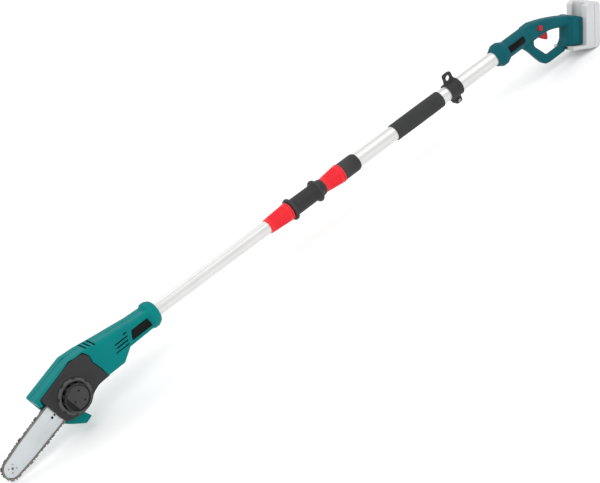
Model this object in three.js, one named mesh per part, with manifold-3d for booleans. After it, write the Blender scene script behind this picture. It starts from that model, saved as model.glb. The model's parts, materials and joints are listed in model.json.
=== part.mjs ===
// Telescoping pole saw: a battery chainsaw head on a two-part pole with a D-handle.
// Millimetres. +X runs along the pole towards the handle, -Y is the sprocket cover side, +Z is up.
import * as THREE from 'three';
import { mergeVertices } from 'three/addons/utils/BufferGeometryUtils.js';
import Module from 'manifold-3d';

const wasm = await Module();
wasm.setup();

// ---------------------------------------------------------------- clearances
const GAP = 0.3; // between two pieces that touch
const RUN = 0.4; // round a piece that turns or slides

// ---------------------------------------------------------------- pole
const TUBE_WALL = 1.4;
const FRONT_TUBE_OD = 28;
const FRONT_TUBE_LENGTH = 485;
const INNER_TUBE_OD = 28;
const INNER_TUBE_LENGTH = 530;
const TELESCOPE_CLEARANCE = 0.6;
const OUTER_TUBE_ID = INNER_TUBE_OD + 2 * TELESCOPE_CLEARANCE;
const OUTER_TUBE_OD = OUTER_TUBE_ID + 2 * TUBE_WALL;
const OUTER_TUBE_LENGTH = 500;
const OUTER_TUBE_INSET = 4; // from the clamp sleeve's front shoulder to the tube's end
const LEAD_RADIUS = 3;
const COIL_RADIUS = 7.5; // coiled lead that stretches when the pole is pulled out
const CONTACT_LENGTH = 17;

// ---------------------------------------------------------------- pole fittings
const CLAMP_SLEEVE_LENGTH = 45;
const SLEEVE_WALL = 3.2;
const REAR_NUT_LENGTH = 50;
const COUPLING_LENGTH = 91;
const COUPLING_WALL = 3.9;
const FLANGE_HEIGHT = 6.3;
const FLANGE_THICKNESS = 9;
const FRONT_NUT_LENGTH = 60;
const NUT_SPACE = 1; // between a nut and what it screws against
const NUT_WALL = 2;
const COLLET_WALL = 2.2;
const COLLET_LENGTH = 24;
const REAR_COLLET_LENGTH = 12;
const FOAM_START = 153; // from the clamp sleeve's front shoulder
const FOAM_LENGTH = 135;
const FOAM_WALL = 2.3;
const HANGER_START = 310;
const HANGER_WIDTH = 33;
const HANGER_WALL = 3.6;
const HANGER_EYE_RADIUS = 6.5;
const HANGER_EYE_WALL = 5.5;
const HANGER_EYE_HEIGHT = 29; // eye centre above the pole axis
const HANGER_PLATE = 7;
const HANGER_SLOT = 3;
const LUG_HALF_LENGTH = 9;
const LUG_HALF_WIDTH = 8;

// ---------------------------------------------------------------- saw head
const HEAD_HALF_WIDTH = 26;
const HEAD_WALL = 2.6;
const HEAD_SOCKET = 72; // depth that the front tube goes into the head
const BAR_ANGLE = 17.3; // the bar points down from the pole axis, degrees
const KNOB_X = -239; // knob centre from the mouth of the head collar
const KNOB_Z = -28;
const COVER_THICKNESS = 19.5;
const COVER_WALL = 2.5;
const COVER_PLATE = 7.5;
const BAR_THICKNESS = 3;
const BAR_HALF_WIDTH = 23.5;
const BAR_REACH = 180.5; // knob centre to the nose sprocket's centre
const BAR_NOSE_RADIUS = 18.5;
const BAR_TAIL = 14;
const BAR_PLANE = -14;
const CHAIN_HEIGHT = 6.2;
const CHAIN_WIDTH = 5;
const SPROCKET_BACK = 38; // knob centre to the drive sprocket's centre, along the bar
const SPROCKET_RADIUS = 15;
const SPROCKET_TEETH = 7;
const TENSION_TRAVEL = 5;
const TENSION_PIN_U = 24; // knob centre to the tension pin, along the bar
const TENSION_PIN_RADIUS = 2.5;
const STUD_RADIUS = 4;
const KNOB_RADIUS = 29;
const KNOB_HEIGHT = 17;
const RING_WIDTH = 7.5;
const RING_HEIGHT = 6;
const BOSS_HEIGHT = 3.5;
const BOSS_MARGIN = 4;
const MOTOR_RADIUS = 18;
const MOTOR_LENGTH = 42;
const MOTOR_Y = 2; // motor axis beside the pole axis
const MOTOR_FRONT = -150;
const MOTOR_SHAFT_RADIUS = 2.5;
const OUTPUT_SHAFT_RADIUS = 4;
const GEAR_RADIUS = 18;
const GEAR_WIDTH = 3;
const PINION_RADIUS = 5;
const PINION_LENGTH = 8;
const BEARING_RADIUS = 9;
const BEARING_WIDTH = 5.5;
const HOOK_HALF_WIDTH = 8;
const TOP_VENTS = [-169, -160, -151]; // cross slots in the top of the housing
const TOP_VENT_WIDTH = 3.5;

// ---------------------------------------------------------------- handle
const BARREL_WALL = 3.7;
const BARREL_RADIUS = OUTER_TUBE_OD / 2 + GAP + BARREL_WALL;
const GRIP_HALF_WIDTH = 16;
const LOOP_HALF_WIDTH = 9;
const BASE_HALF_WIDTH = 24; // at the battery seat
const BASE_FRONT_HALF_WIDTH = 13; // where it meets the loop
const BASE_DEPTH = 36; // from the battery seat to the finger opening
const HANDLE_WALL = 2.6;
const HANDLE_SOCKET = 54; // depth that the outer tube goes into the handle
const TRIGGER_HALF_WIDTH = 6;
const TRIGGER_SWING = 12; // degrees of pull, which its slot leaves room for
const BUTTON_RADIUS = 5.6;
const BUTTON_PROUD = 3.5;
const BUTTON_TRAVEL = 2.5;
const BUTTON_INNER = -12; // inner end of the lock-off button

// ---------------------------------------------------------------- battery
const SEAT_ANGLE = 25.1; // the battery seat leans this far from vertical, degrees
const CELL_RADIUS = 9.1;
const CELL_LENGTH = 65;
const CELL_SPACE = 0.6;
const CELL_COUNT_IN_ROW = 4;
const PACK_WALL = 2.2;
const PACK_BOTTOM = -41; // below the middle of the seat
const PACK_HEADROOM = 24; // above the cells, for the circuit board
const CHIN_REACH = 36;
const CHIN_TOP = -32;
const PACK_HALF_WIDTH = CELL_LENGTH / 2 + PACK_WALL + GAP;
const RAIL_NECK = 15;
const RAIL_HEAD = 19;
const RAIL_STEP = 4;
const RAIL_LOW = -5;
const RAIL_HIGH = 28;
const TERMINAL_HALF_WIDTH = 11;
const LATCH_HALF_WIDTH = 12;
const CELL_PITCH = 2 * CELL_RADIUS + CELL_SPACE;
const PACK_THICKNESS = 2 * PACK_WALL + 3.9 * CELL_RADIUS;
const PACK_TOP = PACK_BOTTOM + 2 * PACK_WALL + CELL_COUNT_IN_ROW * CELL_PITCH
  + PACK_HEADROOM;

// ---------------------------------------------------------------- drawing resolution
const ROUND = 22; // sides of a plain round piece
const KNOB_SIDES = 32;
const SMALL_ROUND = 10;
const CURVE_STEPS = 2; // straight steps in a rounded corner
const CORNER_ROOM = 1.6; // least corner radius as a share of an inset that it survives

// ---------------------------------------------------------------- solids and booleans
function solid(geometry) {
  const bare = geometry.clone();
  bare.deleteAttribute('normal');
  bare.deleteAttribute('uv');
  bare.clearGroups();
  const merged = mergeVertices(bare, 1e-4);
  const vertProperties = Float32Array.from(merged.attributes.position.array);
  const triVerts = Uint32Array.from(merged.index.array);
  const made = new wasm.Manifold(new wasm.Mesh({ numProp: 3, vertProperties, triVerts }));
  return made;
}

function geometryOf(manifold) {
  const mesh = manifold.getMesh();
  const geometry = new THREE.BufferGeometry();
  geometry.setAttribute('position', new THREE.BufferAttribute(Float32Array.from(mesh.vertProperties), 3));
  geometry.setIndex(new THREE.BufferAttribute(Uint32Array.from(mesh.triVerts), 1));
  const flat = geometry.toNonIndexed();
  flat.computeVertexNormals();
  return flat;
}

function union(...solids) {
  return solids.reduce((a, b) => a.add(b));
}

function cut(base, ...tools) {
  return tools.reduce((a, b) => a.subtract(b), base);
}

// An outline of [x, z] or [x, z, corner radius] points as a closed shape. A corner too tight to be
// moved inwards by the inset stays sharp.
function outline(points, inset = 0) {
  const shape = new THREE.Shape();
  const count = points.length;
  points.forEach(([x, z, radius = 0], i) => {
    const [px, pz] = points[(i + count - 1) % count];
    const [nx, nz] = points[(i + 1) % count];
    const toPrevious = new THREE.Vector2(px - x, pz - z);
    const toNext = new THREE.Vector2(nx - x, nz - z);
    const longest = Math.min(radius, toPrevious.length() * 0.45, toNext.length() * 0.45);
    const reach = longest > inset * CORNER_ROOM ? longest : 0;
    const start = new THREE.Vector2(x, z).addScaledVector(toPrevious.normalize(), reach);
    const end = new THREE.Vector2(x, z).addScaledVector(toNext.normalize(), reach);
    if (i === 0) {
      shape.moveTo(start.x, start.y);
    } else {
      shape.lineTo(start.x, start.y);
    }
    if (reach > 0) {
      shape.quadraticCurveTo(x, z, end.x, end.y);
    }
  });
  shape.closePath();
  return shape;
}

// A side outline given depth from yLow to yHigh. edge rounds both faces, inset shrinks the outline.
function slab(points, yLow, yHigh, { edge = 0, edgeDepth = edge, inset = 0, steps = 2 } = {}) {
  const geometry = new THREE.ExtrudeGeometry(outline(points, edge + inset), {
    depth: yHigh - yLow - 2 * edgeDepth,
    curveSegments: CURVE_STEPS,
    bevelEnabled: edge > 0 || inset !== 0,
    bevelThickness: edge > 0 ? edgeDepth : 0,
    bevelSize: edge,
    bevelOffset: -edge - inset,
    bevelSegments: edge > 0 ? steps : 1,
  });
  geometry.rotateX(Math.PI / 2);
  geometry.translate(0, yHigh - edgeDepth, 0);
  return solid(geometry);
}

// The same outline without an edge, shrunk by inset.
function plainSlab(points, yLow, yHigh, inset = 0) {
  const corners = outline(points, Math.abs(inset)).extractPoints(CURVE_STEPS).shape;
  const shrunk = inset === 0 ? corners : insetPoints(corners, inset);
  return flatSlab(shrunk, yLow, yHigh);
}

// A polygon of plain corners given depth from yLow to yHigh.
function flatSlab(corners, yLow, yHigh) {
  const geometry = new THREE.ExtrudeGeometry(new THREE.Shape(corners), {
    depth: yHigh - yLow,
    bevelEnabled: false,
  });
  geometry.rotateX(Math.PI / 2);
  geometry.translate(0, yHigh, 0);
  return solid(geometry);
}

// Moves every side of a polygon inwards by the given distance (outwards when it is negative).
function insetPoints(points, distance) {
  const turn = Math.sign(THREE.ShapeUtils.area(points));
  const distinct = points.filter((p, i) => p.distanceTo(points[(i + 1) % points.length]) > 1e-6);
  const count = distinct.length;
  return distinct.map((point, i) => {
    const before = point.clone().sub(distinct[(i + count - 1) % count]).normalize();
    const after = distinct[(i + 1) % count].clone().sub(point).normalize();
    const normalBefore = new THREE.Vector2(-before.y, before.x).multiplyScalar(turn);
    const normalAfter = new THREE.Vector2(-after.y, after.x).multiplyScalar(turn);
    const middle = normalBefore.clone().add(normalAfter).normalize();
    return point.clone().addScaledVector(middle, distance / Math.max(middle.dot(normalBefore), 0.4));
  });
}

function block(xLow, xHigh, yLow, yHigh, zLow, zHigh) {
  const geometry = new THREE.BoxGeometry(xHigh - xLow, yHigh - yLow, zHigh - zLow);
  geometry.translate((xLow + xHigh) / 2, (yLow + yHigh) / 2, (zLow + zHigh) / 2);
  return solid(geometry);
}

function turned(profile, sides) {
  const points = profile.map(([along, radius]) => new THREE.Vector2(radius, along));
  const geometry = new THREE.LatheGeometry(points, sides);
  const area = THREE.ShapeUtils.area(points);
  if (area < 0) {
    const index = geometry.index.array;
    for (let i = 0; i < index.length; i += 3) {
      [index[i], index[i + 1]] = [index[i + 1], index[i]];
    }
  }
  return geometry;
}

// A profile of [x, radius] points turned about the pole axis, or a line beside it.
function turnedAlongX(profile, sides = ROUND, y = 0, z = 0) {
  const geometry = turned(profile, sides);
  geometry.rotateZ(-Math.PI / 2);
  geometry.translate(0, y, z);
  return solid(geometry);
}

// A profile of [y, radius] points turned about a line along Y through (x, z).
function turnedAlongY(profile, x, z, sides = ROUND) {
  const geometry = turned(profile, sides);
  geometry.translate(x, 0, z);
  return solid(geometry);
}

function rod(xLow, xHigh, radius, sides = ROUND, y = 0, z = 0) {
  return turnedAlongX([[xLow, 0], [xLow, radius], [xHigh, radius], [xHigh, 0]], sides, y, z);
}

function pin(yLow, yHigh, radius, x, z, sides = SMALL_ROUND) {
  return turnedAlongY([[yLow, 0], [yLow, radius], [yHigh, radius], [yHigh, 0]], x, z, sides);
}

function pipe(xLow, xHigh, inner, outer, sides = ROUND) {
  return turnedAlongX([[xLow, inner], [xLow, outer], [xHigh, outer], [xHigh, inner], [xLow, inner]], sides);
}

function ringAlongY(yLow, yHigh, inner, outer, x, z, sides = ROUND) {
  const profile = [[yLow, inner], [yLow, outer], [yHigh, outer], [yHigh, inner], [yLow, inner]];
  return turnedAlongY(profile, x, z, sides);
}

// ---------------------------------------------------------------- finishes
const finishes = {
  headTeal: { color: 0x0a8584, roughness: 0.42, metalness: 0 },
  handleTeal: { color: 0x06606a, roughness: 0.45, metalness: 0 },
  blackPlastic: { color: 0x3a3a3c, roughness: 0.6, metalness: 0 },
  redPlastic: { color: 0xf03c46, roughness: 0.4, metalness: 0 },
  foam: { color: 0x3e3e3e, roughness: 0.95, metalness: 0 },
  tube: { color: 0xe6e6e4, roughness: 0.3, metalness: 0.7 },
  steel: { color: 0xd5dadc, roughness: 0.3, metalness: 0.9 },
  chain: { color: 0x55504c, roughness: 0.45, metalness: 0.8 },
  packGrey: { color: 0xc8c8c8, roughness: 0.5, metalness: 0 },
  cell: { color: 0x4a7fb0, roughness: 0.5, metalness: 0 },
  copper: { color: 0xb87333, roughness: 0.4, metalness: 0.9 },
};

function piece(name, manifold, finish) {
  const material = new THREE.MeshStandardMaterial(finishes[finish]);
  const mesh = new THREE.Mesh(geometryOf(manifold), material);
  mesh.name = name;
  return mesh;
}

// ================================================================ pole
const outerRadius = OUTER_TUBE_OD / 2;
const innerRadius = INNER_TUBE_OD / 2;
const frontRadius = FRONT_TUBE_OD / 2;
const couplingBore = Math.max(frontRadius, innerRadius) + GAP;

const rearNutFront = -REAR_NUT_LENGTH;
const couplingRear = rearNutFront - NUT_SPACE;
const couplingFront = couplingRear - COUPLING_LENGTH;
const couplingMiddle = couplingFront + COUPLING_LENGTH * 0.6;
const frontNutRear = couplingFront - NUT_SPACE;
const frontNutFront = frontNutRear - FRONT_NUT_LENGTH;
const frontTubeRear = couplingMiddle - 2;
const frontTubeFront = frontTubeRear - FRONT_TUBE_LENGTH;
const innerTubeFront = couplingMiddle + 2;
const innerTubeRear = innerTubeFront + INNER_TUBE_LENGTH;
const outerTubeRear = OUTER_TUBE_INSET + OUTER_TUBE_LENGTH;
const headMouth = frontTubeFront + HEAD_SOCKET;
const handleMouth = outerTubeRear - HANDLE_SOCKET;

// A lock nut: a cone that is narrow at the front, bored for the tube, hollow over the collet.
function lockNut(front, rear, tubeRadius, colletRadius, colletLength) {
  const bore = tubeRadius + RUN;
  const hollow = colletRadius + RUN;
  const hollowFront = rear - colletLength;
  const rearRadius = hollow + NUT_WALL + 1;
  return turnedAlongX([
    [front, bore], [front, bore + 1.2], [front + 3, bore + 1.9], [hollowFront, hollow + NUT_WALL],
    [rear - 4, rearRadius], [rear, rearRadius - 1], [rear, hollow], [hollowFront, hollow],
    [hollowFront, bore], [front, bore],
  ]);
}

function couplingBody() {
  const bodyRadius = couplingBore + COUPLING_WALL;
  const collet = frontRadius + GAP + COLLET_WALL;
  const flangeRadius = bodyRadius + FLANGE_HEIGHT;
  const flangeTop = FLANGE_THICKNESS / 3;
  const rearFlange = couplingRear - 18;
  const outside = turnedAlongX([
    [couplingFront - COLLET_LENGTH, 0], [couplingFront - COLLET_LENGTH, collet], [couplingFront, collet],
    [couplingFront, flangeRadius - 3], [couplingFront + flangeTop, flangeRadius],
    [couplingFront + 2 * flangeTop, flangeRadius], [couplingFront + FLANGE_THICKNESS, bodyRadius + 0.6],
    [rearFlange - FLANGE_THICKNESS, bodyRadius - 0.4], [rearFlange - flangeTop / 2, flangeRadius],
    [rearFlange + flangeTop / 2, flangeRadius], [rearFlange + FLANGE_THICKNESS, bodyRadius + 0.6],
    [couplingRear - 1, couplingBore + 2.6], [couplingRear, couplingBore + 1.9], [couplingRear, 0],
  ]);
  const frontBore = rod(couplingFront - COLLET_LENGTH - 1, couplingMiddle - 2 + GAP, frontRadius + GAP);
  const rearBore = rod(couplingMiddle + 2 - GAP, couplingRear + 1, innerRadius + GAP);
  const through = rod(couplingFront, couplingRear, Math.min(frontRadius, innerRadius) + GAP - 1.6);
  return cut(outside, frontBore, rearBore, through);
}

function clampSleeve() {
  const collet = outerRadius + GAP + 1.2;
  const skin = outerRadius + GAP + SLEEVE_WALL;
  const outside = turnedAlongX([
    [-REAR_COLLET_LENGTH, 0], [-REAR_COLLET_LENGTH, collet], [0.5, collet], [0.5, skin - 0.8], [2, skin],
    [CLAMP_SLEEVE_LENGTH - 6, skin], [CLAMP_SLEEVE_LENGTH - 2, skin - 1.2], [CLAMP_SLEEVE_LENGTH,
      skin - 2.6],
    [CLAMP_SLEEVE_LENGTH, 0],
  ]);
  const innerBore = rod(-REAR_COLLET_LENGTH - 1, OUTER_TUBE_INSET + 1, innerRadius + RUN);
  const outerBore = rod(OUTER_TUBE_INSET - GAP, CLAMP_SLEEVE_LENGTH + 1, outerRadius + GAP);
  return cut(outside, innerBore, outerBore);
}

const hangerMiddle = HANGER_START + HANGER_WIDTH / 2;
const hangerSkin = outerRadius + GAP + HANGER_WALL;
const lugBottom = -hangerSkin - 12;
const lugMiddle = -hangerSkin - 6;

// Clamp band round the outer tube with an eye for the shoulder strap and two screw lugs below.
function hangerClamp() {
  const band = rod(HANGER_START, HANGER_START + HANGER_WIDTH, hangerSkin);
  const eyeReach = HANGER_EYE_RADIUS + HANGER_EYE_WALL;
  const eyeAt = hangerMiddle - 1;
  const root = hangerSkin - 3;
  const eye = slab([
    [HANGER_START + 1, root], [HANGER_START + HANGER_WIDTH - 1, root],
    [eyeAt + eyeReach, HANGER_EYE_HEIGHT - 2, 3], [eyeAt + eyeReach, HANGER_EYE_HEIGHT + eyeReach, 11],
    [eyeAt - eyeReach, HANGER_EYE_HEIGHT + eyeReach, 11], [eyeAt - eyeReach, HANGER_EYE_HEIGHT - 2, 3],
  ], -HANGER_PLATE / 2, HANGER_PLATE / 2, { edge: 1.2, steps: 1 });
  const lug = slab([
    [hangerMiddle - LUG_HALF_LENGTH, -hangerSkin + 3], [hangerMiddle - LUG_HALF_LENGTH, lugBottom, 5],
    [hangerMiddle + LUG_HALF_LENGTH, lugBottom, 5], [hangerMiddle + LUG_HALF_LENGTH, -hangerSkin + 3],
  ], -LUG_HALF_WIDTH, LUG_HALF_WIDTH);
  const bore = rod(HANGER_START - 1, HANGER_START + HANGER_WIDTH + 1, outerRadius + GAP);
  const slotBottom = lugBottom - 1;
  const slot = block(HANGER_START - 1, HANGER_START + HANGER_WIDTH + 1, -HANGER_SLOT / 2, HANGER_SLOT / 2,
    slotBottom, 0);
  const eyeHole = pin(-HANGER_PLATE, HANGER_PLATE, HANGER_EYE_RADIUS, eyeAt, HANGER_EYE_HEIGHT);
  const screwHole = pin(-LUG_HALF_WIDTH - 1, LUG_HALF_WIDTH + 1, 2 + GAP, hangerMiddle, lugMiddle);
  return cut(union(band, eye, lug), bore, slot, eyeHole, screwHole);
}

function hangerScrew() {
  const headLow = -LUG_HALF_WIDTH - GAP;
  return turnedAlongY([
    [headLow - 3, 0], [headLow - 3, 3], [headLow - 2.4, 3.8], [headLow, 3.8], [headLow, 2],
    [LUG_HALF_WIDTH + 5, 2], [LUG_HALF_WIDTH + 5, 0],
  ], hangerMiddle, lugMiddle, SMALL_ROUND);
}

function hangerNut() {
  return ringAlongY(LUG_HALF_WIDTH + GAP, LUG_HALF_WIDTH + 3.5, 2 + GAP, 4.2, hangerMiddle, lugMiddle, 6);
}

const frontCollet = frontRadius + GAP + COLLET_WALL;
const rearCollet = outerRadius + GAP + 1.2;
const pole = new THREE.Group();
pole.add(
  piece('front_tube', pipe(frontTubeFront, frontTubeRear, frontRadius - TUBE_WALL, frontRadius), 'tube'),
  piece('front_lock_nut', lockNut(frontNutFront, frontNutRear, frontRadius, frontCollet, COLLET_LENGTH),
    'redPlastic'),
  piece('pole_coupling', couplingBody(), 'blackPlastic'),
  piece('inner_tube', pipe(innerTubeFront, innerTubeRear, innerRadius - TUBE_WALL, innerRadius), 'tube'),
  piece('rear_lock_nut', lockNut(rearNutFront, 0, innerRadius, rearCollet, REAR_COLLET_LENGTH),
    'redPlastic'),
  piece('clamp_sleeve', clampSleeve(), 'blackPlastic'),
  piece('outer_tube', pipe(OUTER_TUBE_INSET, outerTubeRear, OUTER_TUBE_ID / 2, outerRadius), 'tube'),
  piece('foam_grip', pipe(FOAM_START, FOAM_START + FOAM_LENGTH, outerRadius + GAP,
    outerRadius + GAP + FOAM_WALL), 'foam'),
  piece('hanger_clamp', hangerClamp(), 'blackPlastic'),
  piece('hanger_screw', hangerScrew(), 'steel'),
  piece('hanger_nut', hangerNut(), 'steel'),
  piece('front_plug', rod(frontTubeRear - CONTACT_LENGTH, frontTubeRear - GAP,
    frontRadius - TUBE_WALL - GAP), 'blackPlastic'),
  piece('inner_socket', rod(innerTubeFront + GAP, innerTubeFront + CONTACT_LENGTH,
    innerRadius - TUBE_WALL - GAP), 'blackPlastic'),
  piece('front_lead', rod(frontTubeFront - 10, frontTubeRear - CONTACT_LENGTH - GAP, LEAD_RADIUS,
    SMALL_ROUND), 'blackPlastic'),
  piece('coiled_lead', rod(innerTubeFront + CONTACT_LENGTH + GAP, innerTubeRear - 12, COIL_RADIUS,
    SMALL_ROUND), 'blackPlastic'),
);

// ================================================================ saw head
// Built with the mouth of its collar at x = 0.
const barRise = THREE.MathUtils.degToRad(BAR_ANGLE);
const barAhead = new THREE.Vector2(-Math.cos(barRise), -Math.sin(barRise));
const barUp = new THREE.Vector2(-Math.sin(barRise), Math.cos(barRise));

// A place on the bar, u ahead of the knob and w above the bar's centre line, in the head's frame.
function onBar(u, w) {
  return new THREE.Vector2(KNOB_X, KNOB_Z).addScaledVector(barAhead, u).addScaledVector(barUp, w);
}

const sprocketAt = onBar(-SPROCKET_BACK, 0);
const noseAt = onBar(BAR_REACH, 0);
const wallFace = -HEAD_HALF_WIDTH + COVER_THICKNESS - GAP; // outside of the wall behind the bar
const coverFace = -HEAD_HALF_WIDTH - 1;
const seamGap = GAP / 2;
const gearLow = MOTOR_Y + PINION_RADIUS + RUN;
const bossLow = gearLow + GEAR_WIDTH + 4; // inner end of the far bearing boss

const headSide = [
  [-313, 8, 2], [-216, 38, 26], [-182, 36.5, 10], [-141, 31, 30], [-57, frontRadius + 7.5, 10], [-20,
    frontRadius + 6],
  [-20, -frontRadius - 5.5], [-87, -frontRadius - 8, 12], [-112, -43, 10], [-155, -44, 6], [-196, -50,
    6], [-222, -70, 10],
  [-262, -73, 8], [-289, -62, 8], [-303, -22, 4],
];

const coverSide = [
  [-301, 5.5, 1], [-216, 34.5, 14], [-182, 33, 8], [-173, 20, 3], [-173, 4, 4], [-163, -18, 4], [-156,
    -42, 2],
  [-181, -43.5, 6], [-200, -52, 6], [-211, -66, 8], [-233, -74, 12], [-268, -70, 8], [-278, -61, 2],
];

const planTaper = [
  [-320, -HEAD_HALF_WIDTH - 2], [-112, -HEAD_HALF_WIDTH - 2], [-112, -HEAD_HALF_WIDTH], [-14,
    -frontRadius - 6.5],
  [-14, frontRadius + 6.5], [-112, HEAD_HALF_WIDTH], [-112, HEAD_HALF_WIDTH + 2], [-320,
    HEAD_HALF_WIDTH + 2],
];

const collarProfile = [
  [-30, 0], [-30, frontRadius + 6], [-19, frontRadius + 14.5], [-10, frontRadius + 14.5],
  [-1.5, frontRadius + 10], [0, frontRadius + 8], [0, 0],
];

const sideVents = [12, 4, -4, -12];
const headScrews = [[-293, -8], [-141, 18], [-88, -2]];
const badgeSide = [[-78, -11], [-71, 8], [-30, 8], [-27, -10]];

function planCut() {
  const geometry = new THREE.ExtrudeGeometry(
    new THREE.Shape(planTaper.map(([x, y]) => new THREE.Vector2(x, y))),
    { depth: 200, bevelEnabled: false },
  );
  geometry.translate(0, 0, -120);
  return solid(geometry);
}

function headOutside() {
  const near = slab(headSide, -HEAD_HALF_WIDTH, 30, { edge: 3, steps: 1 })
    .intersect(block(-400, 10, -40, 0, -120, 60));
  const nearRearRound = slab(headSide, -HEAD_HALF_WIDTH, 40, { edge: 9, steps: 2 })
    .intersect(block(-154, 10, -40, 0, -120, 60));
  const nearFront = near.intersect(block(-400, -154, -40, 0, -120, 60));
  const far = slab(headSide, -40, HEAD_HALF_WIDTH, { edge: 12, edgeDepth: 14, steps: 2 })
    .intersect(block(-400, 10, 0, 40, -120, 60));
  const body = union(nearFront, nearRearRound, far).intersect(planCut());
  return union(body, turnedAlongX(collarProfile));
}

// Room for the bar, the chain and the sprocket cover on the near side.
function barPocket() {
  const pocket = [
    [-340, -9], [-302, -9], [-302, 5.8], [-216, 35], [-181.5, 33.5], [-172, 20], [-172, 4], [-162, -18],
    [-155.4, -42], [-155.4, -110], [-340, -110],
  ];
  return plainSlab(pocket, -60, wallFace);
}

function headCavity() {
  const cavityLow = wallFace + HEAD_WALL;
  const front = plainSlab(headSide, cavityLow, HEAD_HALF_WIDTH - HEAD_WALL - 1, HEAD_WALL + 1.5)
    .intersect(block(-400, -82, -40, 40, -120, 60));
  const farTrim = slab(headSide, -40, HEAD_HALF_WIDTH - HEAD_WALL,
    { edge: 12, edgeDepth: 14, steps: 2, inset: HEAD_WALL });
  const rear = plainSlab(headSide, -HEAD_HALF_WIDTH + HEAD_WALL + 1, 0, HEAD_WALL + 3)
    .intersect(block(-153, -82, -40, 40, -120, 60));
  return union(front.intersect(farTrim), rear);
}

function screwBoss(yLow, yHigh, [x, z]) {
  return pin(yLow, yHigh, 4.4, x, z, 10);
}

function headBoth() {
  const shaftHole = pin(wallFace - 10, wallFace + 10, BEARING_RADIUS + GAP, sprocketAt.x, sprocketAt.y,
    ROUND);
  const bearingBoss = ringAlongY(bossLow, HEAD_HALF_WIDTH - HEAD_WALL, BEARING_RADIUS + GAP,
    BEARING_RADIUS + 2.6, sprocketAt.x, sprocketAt.y, ROUND);
  const pad = pin(BAR_PLANE + BAR_THICKNESS / 2 + GAP, wallFace + 1, 15, KNOB_X, KNOB_Z, ROUND);
  const studHole = pin(-60, HEAD_HALF_WIDTH / 3, STUD_RADIUS + GAP, KNOB_X, KNOB_Z);
  const shell = cut(headOutside(), headCavity(), barPocket());
  const bosses = headScrews.map(([x, z]) => screwBoss(x < -155 ? wallFace + 1 : -HEAD_HALF_WIDTH + 3,
    HEAD_HALF_WIDTH - HEAD_WALL - 0.5, [x, z]));
  const screwHoles = headScrews.map(([x, z]) => pin(x < -155 ? wallFace + 1.5 : -12, 60, 1.8 + GAP, x,
    z, 10));
  const counterbores = headScrews.map(([x, z]) => pin(14, 60, 3.4 + GAP, x, z, 12));
  const socket = rod(-HEAD_SOCKET - GAP, 1, frontRadius + GAP);
  const leadHole = rod(-HEAD_SOCKET - 30, 0, LEAD_RADIUS + 3);
  const badgeRoom = plainSlab(badgeSide, -60, -HEAD_HALF_WIDTH + 4.6, -GAP);
  const halfVent = TOP_VENT_WIDTH / 2;
  const vents = TOP_VENTS.map((x) => block(x - halfVent, x + halfVent, -HEAD_HALF_WIDTH + 4,
    HEAD_HALF_WIDTH - 11, 24, 60));
  const sides = sideVents.flatMap((z) => [
    block(-118 + z / 4, -84 + z / 4, -60, -HEAD_HALF_WIDTH + 14, z - 1.4, z + 1.4),
    block(-118 + z / 4, -84 + z / 4, HEAD_HALF_WIDTH - 14, 60, z - 1.4, z + 1.4),
  ]);
  const filled = union(shell, bearingBoss, pad, ...bosses);
  return cut(filled, shaftHole, studHole, ...screwHoles, ...counterbores, socket, leadHole, badgeRoom,
    ...vents, ...sides);
}

const headWhole = headBoth();
const nearHalf = block(-500, 500, -100, -seamGap, -300, 300);
const farHalf = block(-500, 500, seamGap, 100, -300, 300);

function biggestPart(manifold) {
  return manifold.decompose().sort((a, b) => b.volume() - a.volume())[0];
}

function sprocketCover() {
  const skin = slab(coverSide, coverFace, coverFace + 40, { edge: 2, steps: 1 })
    .intersect(block(-400, 0, -40, wallFace - GAP, -120, 60));
  const floor = coverFace + COVER_PLATE;
  const cavity = plainSlab(coverSide, floor, 0, COVER_WALL);
  const mouth = plainSlab([
    [-340, 40], [-290, 3], [-262, -64], [-300, -110], [-340, -110],
  ], floor, 0);
  const clampPad = pin(coverFace + 1, BAR_PLANE - BAR_THICKNESS / 2 - GAP, 13, KNOB_X, KNOB_Z, ROUND);
  const ringOuter = KNOB_RADIUS + RUN + RING_WIDTH;
  const boss = turnedAlongY([
    [coverFace - BOSS_HEIGHT, 0], [coverFace - BOSS_HEIGHT, ringOuter + BOSS_MARGIN - 1.5],
    [coverFace - BOSS_HEIGHT + 1.5, ringOuter + BOSS_MARGIN], [coverFace + 3, ringOuter + BOSS_MARGIN],
    [coverFace + 3, 0],
  ], KNOB_X, KNOB_Z, KNOB_SIDES);
  const bossInside = boss.intersect(plainSlab(coverSide, -100, 0, -1));
  const studHole = pin(-60, 0, STUD_RADIUS + GAP, KNOB_X, KNOB_Z);
  return cut(union(cut(skin, cavity, mouth), clampPad, bossInside), studHole, ...chainRoom());
}

const ringLow = coverFace - BOSS_HEIGHT - RUN - RING_HEIGHT;
const knobSeat = coverFace - BOSS_HEIGHT - RUN;

function tensionRing() {
  const inner = KNOB_RADIUS + RUN;
  const outer = inner + RING_WIDTH;
  const ring = turnedAlongY([
    [ringLow, inner], [ringLow, outer - 2], [ringLow + 2, outer], [ringLow + RING_HEIGHT, outer],
    [ringLow + RING_HEIGHT, inner], [ringLow, inner],
  ], KNOB_X, KNOB_Z, KNOB_SIDES);
  const scallops = Array.from({ length: 8 }, (_, i) => {
    const angle = (i + 0.5) * Math.PI / 4;
    const reach = outer + 4;
    return pin(ringLow - 1, ringLow + RING_HEIGHT + 1, 6, KNOB_X + reach * Math.cos(angle),
      KNOB_Z + reach * Math.sin(angle), 12);
  });
  return cut(ring, ...scallops);
}

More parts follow.
